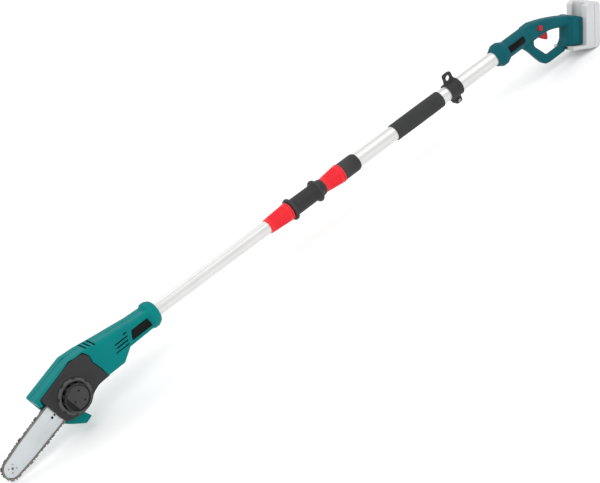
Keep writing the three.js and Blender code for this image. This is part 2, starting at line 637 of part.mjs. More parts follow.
function clampKnob() {
  const face = knobSeat - KNOB_HEIGHT;
  const body = turnedAlongY([
    [face + 1.2, 0], [face + 1.2, KNOB_RADIUS - 6], [face, KNOB_RADIUS - 5], [face, KNOB_RADIUS - 3],
    [face + 3, KNOB_RADIUS - 1], [face + 5, KNOB_RADIUS], [knobSeat, KNOB_RADIUS], [knobSeat, 0],
  ], KNOB_X, KNOB_Z, KNOB_SIDES);
  const thread = pin(face + 6, knobSeat + 1, STUD_RADIUS + GAP, KNOB_X, KNOB_Z);
  return cut(body, thread);
}

function barStud() {
  const headHigh = wallFace + HEAD_WALL + GAP;
  const wallPad = pin(headHigh, headHigh + 4, 7.5, KNOB_X, KNOB_Z, 6);
  return union(pin(knobSeat - KNOB_HEIGHT + 7, headHigh + 1, STUD_RADIUS, KNOB_X, KNOB_Z), wallPad);
}

// The loop that the chain runs on, moved outwards by the given distance.
function chainLoop(offset) {
  const points = [];
  const noseSteps = 10;
  for (let i = 0; i <= noseSteps; i += 1) {
    const angle = THREE.MathUtils.degToRad(84 - 168 * i / noseSteps);
    const radius = BAR_NOSE_RADIUS + offset;
    points.push(onBar(BAR_REACH + radius * Math.cos(angle), radius * Math.sin(angle)));
  }
  const lower = [[BAR_REACH * 0.78, 1.9], [BAR_REACH * 0.5, 0.6], [BAR_REACH * 0.24, 0], [0, 1.1]];
  lower.forEach(([u, drop]) => points.push(onBar(u, -(BAR_HALF_WIDTH - drop + offset))));
  const sprocketSteps = 8;
  for (let i = 0; i <= sprocketSteps; i += 1) {
    const angle = THREE.MathUtils.degToRad(-105 - 150 * i / sprocketSteps);
    const radius = SPROCKET_RADIUS + RUN + offset;
    points.push(onBar(-SPROCKET_BACK + radius * Math.cos(angle), radius * Math.sin(angle)));
  }
  lower.reverse().forEach(([u, drop]) => points.push(onBar(u, BAR_HALF_WIDTH - drop + offset)));
  return points;
}

// Room for the chain where the tension ring holds it tight and where it lets it slack.
function chainRoom() {
  const half = CHAIN_WIDTH / 2 + RUN;
  const ring = (shift) => {
    const moved = (points) => points.map((point) => point.clone().addScaledVector(barAhead, -shift));
    const outer = flatSlab(moved(chainLoop(GAP + CHAIN_HEIGHT + RUN)), BAR_PLANE - half, BAR_PLANE + half);
    const inner = flatSlab(moved(chainLoop(GAP - RUN)), BAR_PLANE - half - 1, BAR_PLANE + half + 1);
    return cut(outer, inner);
  };
  return [ring(0), ring(TENSION_TRAVEL)];
}

function sawChain() {
  const half = CHAIN_WIDTH / 2;
  const outer = flatSlab(chainLoop(GAP + CHAIN_HEIGHT), BAR_PLANE - half, BAR_PLANE + half);
  const inner = flatSlab(chainLoop(GAP), BAR_PLANE - half - 1, BAR_PLANE + half + 1);
  return cut(outer, inner);
}

function guideBar() {
  const half = BAR_THICKNESS / 2;
  const blade = flatSlab(chainLoop(0), BAR_PLANE - half, BAR_PLANE + half);
  const tailCut = [
    onBar(-BAR_TAIL, 60), onBar(-BAR_TAIL, -60), onBar(-120, -60), onBar(-120, 60),
  ];
  const slotHalf = STUD_RADIUS + RUN;
  const slotAhead = STUD_RADIUS + GAP;
  const slot = [
    onBar(-BAR_TAIL - 1, slotHalf), onBar(-BAR_TAIL - 1, -slotHalf),
    onBar(slotAhead + TENSION_TRAVEL + 2, -slotHalf), onBar(slotAhead + TENSION_TRAVEL + 2, slotHalf),
  ];
  const noseSlot = ringAlongY(BAR_PLANE - 0.7, BAR_PLANE + 0.7, 0.01, BAR_NOSE_RADIUS + 6, noseAt.x,
    noseAt.y);
  const holes = [[47, 1.6], [54, 2.2]].map(([u, radius]) => {
    const at = onBar(u, 0);
    return pin(BAR_PLANE - 5, BAR_PLANE + 5, radius, at.x, at.y, 10);
  });
  const pinAt = onBar(TENSION_PIN_U, 0);
  const pinHole = pin(BAR_PLANE - 5, BAR_PLANE + 5, TENSION_PIN_RADIUS + GAP, pinAt.x, pinAt.y, 12);
  const noseCut = cut(noseSlot, pin(-100, 100, 3, noseAt.x, noseAt.y));
  return cut(blade, flatSlab(tailCut, -60, 60), flatSlab(slot, -60, 60), noseCut, ...holes, pinHole);
}

function tensionPin() {
  const at = onBar(TENSION_PIN_U, 0);
  return pin(BAR_PLANE - BAR_THICKNESS / 2 - 1.5, BAR_PLANE + BAR_THICKNESS / 2 + 1.5, TENSION_PIN_RADIUS,
    at.x, at.y, 12);
}

// A toothed wheel about a line along Y.
function starWheel(yLow, yHigh, rootRadius, tipRadius, teeth, x, z) {
  const points = [];
  for (let i = 0; i < teeth; i += 1) {
    const pitch = 2 * Math.PI / teeth;
    [[0.05, rootRadius], [0.3, tipRadius], [0.5, tipRadius], [0.75, rootRadius]].forEach(([share,
      radius]) => {
      const angle = (i + share) * pitch;
      points.push(new THREE.Vector2(x + radius * Math.cos(angle), z + radius * Math.sin(angle)));
    });
  }
  return flatSlab(points, yLow, yHigh);
}

function driveSprocket() {
  const wheel = starWheel(BAR_PLANE - 2, BAR_PLANE + 2, SPROCKET_RADIUS - 3.5, SPROCKET_RADIUS,
    SPROCKET_TEETH, sprocketAt.x, sprocketAt.y);
  const hub = pin(BAR_PLANE - 4, BAR_PLANE + 4.5, OUTPUT_SHAFT_RADIUS + 3.5, sprocketAt.x,
    sprocketAt.y, ROUND);
  return cut(union(wheel, hub), pin(-60, 60, OUTPUT_SHAFT_RADIUS + GAP, sprocketAt.x, sprocketAt.y));
}

function noseSprocket() {
  return cut(
    starWheel(BAR_PLANE - 0.4, BAR_PLANE + 0.4, BAR_NOSE_RADIUS - 6, BAR_NOSE_RADIUS - 2.5, 10, noseAt.x,
      noseAt.y),
    pin(-60, 60, 3 + GAP, noseAt.x, noseAt.y),
  );
}

const shaftHigh = bossLow + BEARING_WIDTH + 1;

function outputShaft() {
  return pin(BAR_PLANE - 5, shaftHigh, OUTPUT_SHAFT_RADIUS, sprocketAt.x, sprocketAt.y);
}

function crownGear() {
  const face = gearLow + GEAR_WIDTH;
  return turnedAlongY([
    [gearLow, OUTPUT_SHAFT_RADIUS + GAP], [gearLow, GEAR_RADIUS], [face, GEAR_RADIUS],
    [face + 2, OUTPUT_SHAFT_RADIUS + 3], [face + 2, OUTPUT_SHAFT_RADIUS + GAP],
    [gearLow, OUTPUT_SHAFT_RADIUS + GAP],
  ], sprocketAt.x, sprocketAt.y);
}

const motorFront = MOTOR_FRONT;
const pinionRear = sprocketAt.x + GEAR_RADIUS;
const pinionFront = pinionRear - PINION_LENGTH;

function motorCan() {
  const can = turnedAlongX([
    [motorFront, 0], [motorFront, MOTOR_RADIUS - 2], [motorFront + 2, MOTOR_RADIUS],
    [motorFront + MOTOR_LENGTH - 2, MOTOR_RADIUS], [motorFront + MOTOR_LENGTH, MOTOR_RADIUS - 2],
    [motorFront + MOTOR_LENGTH, 0],
  ], ROUND, MOTOR_Y, sprocketAt.y);
  const rotorRoom = rod(motorFront + 6, motorFront + MOTOR_LENGTH - 6, MOTOR_RADIUS - 5, ROUND,
    MOTOR_Y, sprocketAt.y);
  const shaftHole = rod(motorFront - 1, motorFront + MOTOR_LENGTH + 1, MOTOR_SHAFT_RADIUS + RUN,
    SMALL_ROUND, MOTOR_Y, sprocketAt.y);
  return cut(can, rotorRoom, shaftHole);
}

function motorRotor() {
  const shaft = rod(pinionFront, motorFront + MOTOR_LENGTH + 2, MOTOR_SHAFT_RADIUS, SMALL_ROUND,
    MOTOR_Y, sprocketAt.y);
  const core = rod(motorFront + 9, motorFront + MOTOR_LENGTH - 9, MOTOR_RADIUS - 6.5, ROUND, MOTOR_Y,
    sprocketAt.y);
  return union(shaft, core);
}

function motorPinion() {
  const gear = rod(pinionFront, pinionRear, PINION_RADIUS, SMALL_ROUND, MOTOR_Y, sprocketAt.y);
  return cut(gear, rod(pinionFront - 1, pinionRear + 1, MOTOR_SHAFT_RADIUS + GAP, SMALL_ROUND, MOTOR_Y,
    sprocketAt.y));
}

function bearing(yLow) {
  return ringAlongY(yLow, yLow + BEARING_WIDTH, OUTPUT_SHAFT_RADIUS + RUN, BEARING_RADIUS, sprocketAt.x,
    sprocketAt.y, ROUND);
}

function branchHook() {
  return slab([
    [-282, -69.5, 1], [-268, -83, 8], [-236, -104, 3], [-219, -97, 2], [-232, -77, 1], [-262, -75.5],
    [-279, -69.5],
  ], -HOOK_HALF_WIDTH - 2, HOOK_HALF_WIDTH - 2, { edge: 1.2, steps: 1 });
}

function headScrew([x, z]) {
  const tip = x < -155 ? wallFace + 2 : -11;
  return turnedAlongY([
    [tip, 0], [tip, 1.8], [14 + GAP, 1.8], [14 + GAP, 3.4], [16.6, 3.4], [17.4, 2.4], [17.4, 0],
  ], x, z, 12);
}

const head = new THREE.Group();
head.position.x = headMouth;
head.add(
  piece('head_shell_cover_side', biggestPart(headWhole.intersect(nearHalf)), 'headTeal'),
  piece('head_shell_far_side', biggestPart(headWhole.intersect(farHalf)), 'headTeal'),
  piece('sprocket_cover', sprocketCover(), 'blackPlastic'),
  piece('tension_ring', tensionRing(), 'blackPlastic'),
  piece('clamp_knob', clampKnob(), 'blackPlastic'),
  piece('bar_stud', barStud(), 'steel'),
  piece('guide_bar', guideBar(), 'steel'),
  piece('tension_pin', tensionPin(), 'steel'),
  piece('saw_chain', sawChain(), 'chain'),
  piece('nose_sprocket', noseSprocket(), 'steel'),
  piece('drive_sprocket', driveSprocket(), 'steel'),
  piece('output_shaft', outputShaft(), 'steel'),
  piece('crown_gear', crownGear(), 'steel'),
  piece('shaft_bearing_cover_side', bearing(wallFace + GAP), 'steel'),
  piece('shaft_bearing_far_side', bearing(bossLow + GAP), 'steel'),
  piece('motor_can', motorCan(), 'steel'),
  piece('motor_rotor', motorRotor(), 'copper'),
  piece('motor_pinion', motorPinion(), 'steel'),
  piece('branch_hook', branchHook(), 'headTeal'),
  piece('head_badge', plainSlab(badgeSide, -HEAD_HALF_WIDTH + 2.2, -HEAD_HALF_WIDTH + 4.3),
    'blackPlastic'),
  ...headScrews.map((at, i) => piece(`head_screw_${i + 1}`, headScrew(at), 'steel')),
);

// ================================================================ handle
// Built with the mouth of its collar at x = 0.
const seatTurn = THREE.MathUtils.degToRad(SEAT_ANGLE);
const seatAt = new THREE.Vector2(228, -63); // middle of the battery seat

// A place x behind the battery seat and z up along it, in the handle's frame.
function onSeat(x, z) {
  return new THREE.Vector2(
    seatAt.x + x * Math.cos(seatTurn) + z * Math.sin(seatTurn),
    seatAt.y - x * Math.sin(seatTurn) + z * Math.cos(seatTurn),
  );
}

function asPoint(vector, radius = 0) {
  return [vector.x, vector.y, radius];
}

const handleCollar = [
  [0, 0], [0, BARREL_RADIUS - 1], [13, BARREL_RADIUS + 6.5], [23, BARREL_RADIUS + 6.5],
  [38, BARREL_RADIUS - 0.5], [38, 0],
];

const gripSide = [
  [96, BARREL_RADIUS - 0.5], [118, BARREL_RADIUS - 0.5, 14], [156, 8, 20], [207, -14.5, 20], [238,
    -36], [226, -50], [196, -36, 14],
  [152, -19, 16], [96, 1 - BARREL_RADIUS],
];

const baseSide = [
  asPoint(onSeat(0, 28.5), 2), asPoint(onSeat(0, -28), 2), asPoint(onSeat(-6, -31.5), 2),
  asPoint(onSeat(-BASE_DEPTH - 10, -31.5), 2), asPoint(onSeat(-BASE_DEPTH, -12), 8),
  asPoint(onSeat(-BASE_DEPTH, 22), 6), [212, -19, 6], [221, -22, 6],
];

const loopSide = [
  [70, -14], [87, -33, 14], [103, -66, 14], [116, -86, 14],
  asPoint(onSeat(-CHIN_REACH - 2.2, -43.4)), asPoint(onSeat(-CHIN_REACH - 2.2, -25.6)), [130, -70, 8],
  [119, -52, 10], [104, -30, 10], [114, -14],
];

const handleScrews = [[98, -40], [150, -78], [192, -22], [202, -62]];
const triggerPivot = new THREE.Vector2(118, -8);
const buttonAt = new THREE.Vector2(129, 1);
const handleBadge = [[33, -4, 2], [33, 11, 2], [80, 11, 2], [80, -4, 2]];

const triggerSide = [
  [112, -3], [150, -6], [151, -19, 3], [148, -34, 3], [144, -38.5, 3], [139, -35, 4], [121, -18, 2],
  [114, -14, 3],
];

// The handle base seen along the seat: narrow at the finger opening and wide at the battery.
function basePlan(inset) {
  const narrow = BASE_FRONT_HALF_WIDTH - inset;
  const wide = BASE_HALF_WIDTH - inset;
  const geometry = new THREE.ExtrudeGeometry(new THREE.Shape([
    [-60, -narrow], [-BASE_DEPTH - 1, -narrow], [-BASE_DEPTH + 7, -wide], [40, -wide], [40, wide],
    [-BASE_DEPTH + 7, wide], [-BASE_DEPTH - 1, narrow], [-60, narrow],
  ].map(([x, y]) => new THREE.Vector2(x, y))), { depth: 160, bevelEnabled: false });
  geometry.translate(0, 0, -80);
  return seatSolid(solid(geometry));
}

function turnedAbout(points, centre, degrees) {
  const angle = THREE.MathUtils.degToRad(degrees);
  return points.map(([x, z, radius = 0]) => {
    const moved = new THREE.Vector2(x, z).rotateAround(centre, angle);
    return [moved.x, moved.y, radius];
  });
}

function handleOutside() {
  const collar = turnedAlongX(handleCollar);
  const barrel = turnedAlongX([
    [30, 0], [30, BARREL_RADIUS], [104, BARREL_RADIUS], [118, BARREL_RADIUS - 3], [124, BARREL_RADIUS - 8],
    [124, 0],
  ]);
  const grip = slab(gripSide, -GRIP_HALF_WIDTH, GRIP_HALF_WIDTH, { edge: 8, steps: 2 });
  const loop = slab(loopSide, -LOOP_HALF_WIDTH, LOOP_HALF_WIDTH, { edge: 4.5, steps: 2 });
  const base = slab(baseSide, -BASE_HALF_WIDTH, BASE_HALF_WIDTH, { edge: 4, steps: 2 })
    .intersect(basePlan(0));
  return union(collar, barrel, grip, loop, base);
}

function handleCavity() {
  const socket = rod(-1, HANDLE_SOCKET + GAP, outerRadius + GAP);
  const barrelRoom = rod(0, 112, BARREL_RADIUS - HANDLE_WALL - 1.4);
  const gripRoom = plainSlab(gripSide, -GRIP_HALF_WIDTH + HANDLE_WALL + 3,
    GRIP_HALF_WIDTH - HANDLE_WALL - 3, HANDLE_WALL + 1.2);
  const baseRoom = plainSlab(baseSide, -BASE_HALF_WIDTH + HANDLE_WALL + 1,
    BASE_HALF_WIDTH - HANDLE_WALL - 1, HANDLE_WALL + 1).intersect(basePlan(HANDLE_WALL));
  const slotHalf = TRIGGER_HALF_WIDTH + RUN;
  const outlineOut = (points) => plainSlab(points, -slotHalf, slotHalf, -0.8);
  const stages = [0, 0.5, 1].map((share) => outlineOut(
    turnedAbout(triggerSide, triggerPivot, TRIGGER_SWING * share),
  ));
  return union(socket, barrelRoom, gripRoom, baseRoom, ...stages);
}

// Two T rails on the seat that the battery slides onto.
function seatRail() {
  const neck = seatSolid(block(-1, RAIL_STEP, -RAIL_NECK, RAIL_NECK, RAIL_LOW, RAIL_HIGH));
  const headPart = seatSolid(block(RAIL_STEP - 0.01, 2 * RAIL_STEP, -RAIL_HEAD, RAIL_HEAD, RAIL_LOW,
    RAIL_HIGH));
  const pocket = seatSolid(block(-8, 2 * RAIL_STEP + 1, -TERMINAL_HALF_WIDTH - GAP,
    TERMINAL_HALF_WIDTH + GAP,
    RAIL_LOW + 3 - GAP, RAIL_HIGH - 3 + GAP));
  return [union(neck, headPart), pocket];
}


// Turns a solid that was drawn square on the battery seat into the handle's frame.
function seatSolid(manifold) {
  const geometry = geometryOf(manifold);
  geometry.rotateY(seatTurn);
  geometry.translate(seatAt.x, 0, seatAt.y);
  return solid(geometry);
}

function handleBoth() {
  const [rail, terminalPocket] = seatRail();
  const holes = handleScrews.map(([x, z]) => pin(-7, 60, 1.6 + GAP, x, z, 10));
  const bosses = handleScrews.slice(2).map(([x, z]) => pin(-12, 12, 4, x, z, 10));
  const counterbores = handleScrews.map(([x, z]) => pin(5.5, 60, 3.2 + GAP, x, z, 12));
  const buttonHole = pin(-60, BUTTON_INNER + BUTTON_TRAVEL + RUN, BUTTON_RADIUS + RUN, buttonAt.x,
    buttonAt.y, 20);
  const badgeRoom = plainSlab(handleBadge, -60, -BARREL_RADIUS + 1.4, -GAP);
  const shell = union(cut(handleOutside(), handleCavity()), rail);
  return cut(union(shell, ...bosses), terminalPocket, ...holes, ...counterbores, buttonHole, badgeRoom);
}

const handleWhole = handleBoth();

function trigger() {
  const body = slab(triggerSide, -TRIGGER_HALF_WIDTH, TRIGGER_HALF_WIDTH, { edge: 1.5, steps: 1 });
  return cut(body, pin(-60, 60, 2 + GAP, triggerPivot.x, triggerPivot.y));
}

function lockButton() {
  const face = -GRIP_HALF_WIDTH - BUTTON_PROUD - 1;
  return turnedAlongY([
    [face + 0.8, 0], [face, 3], [face, BUTTON_RADIUS - 1], [face + 1, BUTTON_RADIUS], [BUTTON_INNER,
      BUTTON_RADIUS],
    [BUTTON_INNER, 0],
  ], buttonAt.x, buttonAt.y, 20);
}

function handleScrew([x, z]) {
  return turnedAlongY([
    [-6.5, 0], [-6.5, 1.6], [5.8, 1.6], [5.8, 3.2], [8, 3.2], [8.8, 2.2], [8.8, 0],
  ], x, z, 12);
}

const handle = new THREE.Group();
handle.position.x = handleMouth;
handle.add(
  piece('handle_shell_button_side', biggestPart(handleWhole.intersect(nearHalf)), 'handleTeal'),
  piece('handle_shell_far_side', biggestPart(handleWhole.intersect(farHalf)), 'handleTeal'),
  piece('trigger', trigger(), 'redPlastic'),
  piece('trigger_pin', pin(-9, 9, 2, triggerPivot.x, triggerPivot.y), 'steel'),
  piece('lock_off_button', lockButton(), 'redPlastic'),
  piece('switch_module', block(116, 138, -5, 5, 0.8, 7), 'blackPlastic'),
  piece('terminal_block', seatSolid(block(-6, 2 * RAIL_STEP + 0.5, -TERMINAL_HALF_WIDTH,
    TERMINAL_HALF_WIDTH,
    RAIL_LOW + 3, RAIL_HIGH - 3)), 'blackPlastic'),
  piece('handle_badge', plainSlab(handleBadge, -BARREL_RADIUS - 0.5, -BARREL_RADIUS + 1.1),
    'blackPlastic'),
  ...handleScrews.map((at, i) => piece(`handle_screw_${i + 1}`, handleScrew(at), 'steel')),
);

// ================================================================ battery
// Drawn square on the seat: x away from the seat, z up along it.
const seamAt = PACK_THICKNESS - 16; // where the front case meets the back cover
const packSide = [
  [0.8, PACK_TOP - 9, 3], [12, PACK_TOP, 6], [PACK_THICKNESS, PACK_TOP - 3, 6], [PACK_THICKNESS,
    PACK_BOTTOM + 9, 6],
  [PACK_THICKNESS - 10, PACK_BOTTOM, 4], [-CHIN_REACH, PACK_BOTTOM, 3], [-CHIN_REACH, CHIN_TOP - GAP, 1],
  [0.8, CHIN_TOP - GAP],
];

function packOutside() {
  return slab(packSide, -PACK_HALF_WIDTH, PACK_HALF_WIDTH, { edge: 3, steps: 2 });
}

function railSlot() {
  const low = RAIL_LOW - 1;
  const neck = block(-1, RAIL_STEP + RUN, -RAIL_NECK - RUN, RAIL_NECK + RUN, low, PACK_TOP + 10);
  const headPart = block(RAIL_STEP - RUN, 2 * RAIL_STEP + 1.2, -RAIL_HEAD - RUN, RAIL_HEAD + RUN, low,
    PACK_TOP + 10);
  return union(neck, headPart);
}

function packCavity() {
  const room = plainSlab([
    [2 * RAIL_STEP + 1.2 + PACK_WALL, PACK_TOP - PACK_WALL - 3],
    [PACK_THICKNESS - PACK_WALL, PACK_TOP - PACK_WALL - 4],
    [PACK_THICKNESS - PACK_WALL, PACK_BOTTOM + PACK_WALL + 8], [PACK_THICKNESS - 10,
      PACK_BOTTOM + PACK_WALL + 1],
    [PACK_WALL + 0.8, PACK_BOTTOM + PACK_WALL + 1], [PACK_WALL + 0.8, RAIL_LOW - 1 - PACK_WALL],
    [2 * RAIL_STEP + 1.2 + PACK_WALL, RAIL_LOW - 1 - PACK_WALL],
  ], -PACK_HALF_WIDTH + PACK_WALL, PACK_HALF_WIDTH - PACK_WALL);
  return room;
}

const latchLow = PACK_BOTTOM + PACK_WALL;
const latchHigh = CHIN_TOP - PACK_WALL - GAP;

function latchRoom() {
  return block(-CHIN_REACH - 1, -CHIN_REACH + 16, -LATCH_HALF_WIDTH - RUN, LATCH_HALF_WIDTH + RUN,
    latchLow - RUN + 0.4, latchHigh + RUN - 0.2);
}

const packWhole = cut(packOutside(), railSlot(), packCavity(), latchRoom());
const cellX = PACK_THICKNESS - PACK_WALL - CELL_RADIUS - GAP;
const lowCellZ = PACK_BOTTOM + PACK_WALL + 1 + CELL_RADIUS + GAP;
const cellRowLow = lowCellZ + CELL_RADIUS;
const cellPlaces = Array.from({ length: CELL_COUNT_IN_ROW }, (_, i) => [cellX,
  cellRowLow + i * CELL_PITCH]);
cellPlaces.push([PACK_WALL + 0.8 + CELL_RADIUS + GAP, lowCellZ]);

const battery = new THREE.Group();
battery.position.set(handleMouth + seatAt.x, 0, seatAt.y);
battery.rotation.y = seatTurn;
battery.add(
  piece('battery_case', packWhole.intersect(block(-100, seamAt - seamGap, -100, 100, -100, 100)),
    'packGrey'),
  piece('battery_back', packWhole.intersect(block(seamAt + seamGap, 100, -100, 100, -100, 100)),
    'packGrey'),
  piece('battery_latch_button', block(-CHIN_REACH - 1.2, -CHIN_REACH + 11, -LATCH_HALF_WIDTH,
    LATCH_HALF_WIDTH,
    latchLow + 0.3, latchHigh), 'blackPlastic'),
  ...cellPlaces.map(([x, z], i) => piece(`battery_cell_${i + 1}`,
    pin(-CELL_LENGTH / 2, CELL_LENGTH / 2, CELL_RADIUS, x, z, 16), 'cell')),
);

// ================================================================ whole saw
const saw = new THREE.Group();
saw.add(pole, head, handle, battery);

const group = new THREE.Group();
group.add(saw);
group.updateMatrixWorld(true);
const box = new THREE.Box3().setFromObject(saw, true);
saw.position.set(-(box.min.x + box.max.x) / 2, -(box.min.y + box.max.y) / 2, -box.min.z);
group.updateMatrixWorld(true);

export default group;
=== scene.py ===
"""Telescoping pole saw: the finished look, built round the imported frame."""
import json
import logging
import math
from collections.abc import Callable, Iterator, Sequence
from contextlib import contextmanager
from dataclasses import dataclass, field
from enum import Enum
from itertools import pairwise

import bpy
from mathutils import Matrix, Vector


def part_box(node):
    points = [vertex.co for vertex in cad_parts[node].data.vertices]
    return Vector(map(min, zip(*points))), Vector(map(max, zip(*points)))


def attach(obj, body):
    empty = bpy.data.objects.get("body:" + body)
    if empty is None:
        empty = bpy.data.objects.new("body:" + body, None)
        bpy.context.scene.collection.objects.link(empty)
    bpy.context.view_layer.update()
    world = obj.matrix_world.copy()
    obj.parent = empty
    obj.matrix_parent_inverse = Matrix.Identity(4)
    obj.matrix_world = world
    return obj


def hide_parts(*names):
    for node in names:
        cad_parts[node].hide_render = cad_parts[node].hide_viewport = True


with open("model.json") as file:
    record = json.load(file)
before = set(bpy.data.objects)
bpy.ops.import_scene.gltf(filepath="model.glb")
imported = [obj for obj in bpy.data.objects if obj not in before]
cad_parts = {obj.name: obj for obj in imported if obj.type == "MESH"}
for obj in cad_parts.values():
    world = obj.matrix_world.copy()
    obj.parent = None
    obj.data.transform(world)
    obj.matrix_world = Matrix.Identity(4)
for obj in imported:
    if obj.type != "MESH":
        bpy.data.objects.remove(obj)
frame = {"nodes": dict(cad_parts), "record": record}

LOG = logging.getLogger("pole_saw")
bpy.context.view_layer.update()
MM = 0.001
BAR_ANGLE = math.radians(17.3)  # the bar points down from the pole
TURN = 2 * math.pi
Point = tuple[float, float]
Test = Callable[[Vector, Vector], bool]


class Axis(Enum):
    """A main axis that a turned piece goes round."""

    X = Vector((1, 0, 0))
    Y = Vector((0, 1, 0))


# ------------------------------------------------------------------ workshop
def pick(*pieces: bpy.types.Object) -> None:
    """Leaves only these pieces selected, with the first one active.

    Args:
        pieces: the objects to select.
    """
    bpy.ops.object.select_all(action="DESELECT")
    for piece in pieces:
        piece.select_set(True)
    bpy.context.view_layer.objects.active = pieces[0]


@contextmanager
def editing(piece: bpy.types.Object, mode: str = "VERT") -> Iterator[None]:
    """Holds a piece in edit mode.

    Args:
        piece: the mesh to edit.
        mode: VERT, EDGE or FACE.
    """
    pick(piece)
    bpy.ops.object.mode_set(mode="EDIT")
    bpy.ops.mesh.select_mode(type=mode)
    yield
    bpy.ops.object.mode_set(mode="OBJECT")


def apply(piece: bpy.types.Object, kind: str, **settings: object) -> None:
    """Adds a modifier and applies it.

    Args:
        piece: the mesh to change.
        kind: the modifier's type.
        settings: its values.
    """
    pick(piece)
    modifier = piece.modifiers.new(kind.lower(), kind)
    for key, value in settings.items():
        setattr(modifier, key, value)
    bpy.ops.object.modifier_apply(modifier=modifier.name)


def close_up(piece: bpy.types.Object) -> None:
    """Merges doubled points and turns every face outwards."""
    with editing(piece):
        bpy.ops.mesh.select_all(action="SELECT")
        bpy.ops.mesh.remove_doubles(threshold=0.01 * MM)
        bpy.ops.mesh.normals_make_consistent(inside=False)


def traced(name: str, points: Sequence[Vector]) -> bpy.types.Object:
    """Draws a line of edges by extruding one point.

    Args:
        name: the piece's name.
        points: the line's corners, in metres.

    Returns:
        The new mesh object.
    """
    bpy.ops.object.select_all(action="DESELECT")
    bpy.ops.mesh.primitive_plane_add(size=MM, location=points[0])
    piece = bpy.context.object
    piece.name = name
    with editing(piece):
        bpy.ops.mesh.select_all(action="SELECT")
        bpy.ops.mesh.merge(type="CENTER")
        for a, b in pairwise(points):
            bpy.ops.mesh.extrude_vertices_move(TRANSFORM_OT_translate={"value": b - a})
    pick(piece)
    bpy.ops.object.transform_apply(location=True, rotation=True, scale=True)
    return piece


def turned(
    name: str, profile: Sequence[Point], centre: Vector, axis: Axis, sides: int = 72
) -> bpy.types.Object:
    """Spins a profile into a closed turned piece.

    Args:
        name: the piece's name.
        profile: (place along the axis, radius) in millimetres.
        centre: a point on the turning axis.
        axis: the main axis it goes round.
        sides: steps in the full turn.

    Returns:
        The new mesh object.
    """
    way = axis.value
    base = centre - way * centre.dot(way)
    points = [base + way * (along * MM) + Vector((0, 0, radius * MM)) for along, radius in profile]
    piece = traced(name, points)
    with editing(piece):
        bpy.ops.mesh.select_all(action="SELECT")
        bpy.ops.mesh.spin(steps=sides, angle=TURN, center=base, axis=way, use_auto_merge=True)
    close_up(piece)
    return piece


def cut_plate(
    name: str, outline: Sequence[Point], low: float, high: float
) -> bpy.types.Object:
    """Fills an outline and extrudes it along Y.

    Args:
        name: the piece's name.
        outline: (x, z) corners in millimetres.
        low: lower Y in millimetres.
        high: upper Y in millimetres.

    Returns:
        The new mesh object.
    """
    points = [Vector((x, low, z)) * MM for x, z in outline]
    piece = traced(name, [*points, points[0]])
    with editing(piece):
        bpy.ops.mesh.select_all(action="SELECT")
        bpy.ops.mesh.remove_doubles(threshold=0.001 * MM)
        bpy.ops.mesh.edge_face_add()
        bpy.ops.mesh.extrude_region_move(
            TRANSFORM_OT_translate={"value": (0, (high - low) * MM, 0)}
        )
    close_up(piece)
    return piece


def box_mm(node: str) -> tuple[Vector, Vector]:
    """A node's lowest and highest corner in millimetres."""
    low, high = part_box(node)
    return low / MM, high / MM


def middle(node: str) -> Vector:
    """The middle of a node's box, in metres."""
    low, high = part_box(node)
    return (low + high) / 2


def chosen(piece: bpy.types.Object, test: Test) -> None:
    """Selects the faces whose middle and normal pass a test.

    Args:
        piece: the mesh, in object mode.
        test: called with a face's middle and normal.
    """
    mesh = piece.data
    for part in (*mesh.vertices, *mesh.edges):
        part.select = False
    for face in mesh.polygons:
        face.select = test(face.center, face.normal)


def pressed(piece: bpy.types.Object, test: Test, inset: float, depth: float) -> None:
    """Insets the chosen faces as regions and sinks or raises them.

    Args:
        piece: the mesh.
        test: picks the faces.
        inset: border width in millimetres.
        depth: rise in millimetres, negative to sink.
    """
    chosen(piece, test)
    with editing(piece, "FACE"):
        bpy.ops.mesh.inset(thickness=inset * MM, depth=depth * MM, use_even_offset=False)


def column(centre: Vector, axis: Axis, sides: int) -> Callable[[Vector], int]:
    """Numbers the lengthwise strips of a turned piece.

    Args:
        centre: a point on its axis.
        axis: the axis it was turned about.
        sides: steps in the full turn.

    Returns:
        A function from a face's middle to its strip number.
    """
    across = 1 if axis is Axis.X else 0
    return lambda at: int(
        (math.atan2(at.z - centre.z, at[across] - centre[across]) / TURN + 1) * sides + 0.001
    )


def soften(piece: bpy.types.Object, width: float, segments: int = 2, angle: float = 35) -> None:
    """Rounds the sharp edges of a piece.

    Args:
        piece: the mesh.
        width: rounding in millimetres.
        segments: steps in the rounding.
        angle: edges sharper than this, in degrees, are rounded.
    """
    apply(piece, "BEVEL", width=width * MM, segments=segments, limit_method="ANGLE",
          angle_limit=math.radians(angle), use_clamp_overlap=True)


def copied(node: str, name: str) -> bpy.types.Object:
    """Copies a CAD node's mesh into a new piece with merged corners."""
    piece = bpy.data.objects.new(name, frame["nodes"][node].data.copy())
    bpy.context.scene.collection.objects.link(piece)
    with editing(piece):
        bpy.ops.mesh.select_all(action="SELECT")
        bpy.ops.mesh.remove_doubles(threshold=0.001 * MM)
        bpy.ops.mesh.select_all(action="DESELECT")
    return piece


def moulded(node: str, name: str, grain: float, rounds: int = 4) -> bpy.types.Object:
    """Copies a CAD node and rounds all its edges as a mould does.

    Args:
        node: the CAD node.
        name: the piece's name.
        grain: voxel size in millimetres.
        rounds: smoothing passes.

    Returns:
        The new mesh object.
    """
    piece = copied(node, name)
    apply(piece, "REMESH", mode="VOXEL", voxel_size=grain * MM, adaptivity=0.0)
    apply(piece, "SMOOTH", factor=0.5, iterations=rounds)
    apply(piece, "DECIMATE", decimate_type="COLLAPSE", ratio=0.5)
    return piece


def joined(name: str, pieces: Sequence[bpy.types.Object]) -> bpy.types.Object:
    """Joins several meshes into one named piece."""
    pick(*pieces)
    bpy.ops.object.join()
    pieces[0].name = name
    return pieces[0]


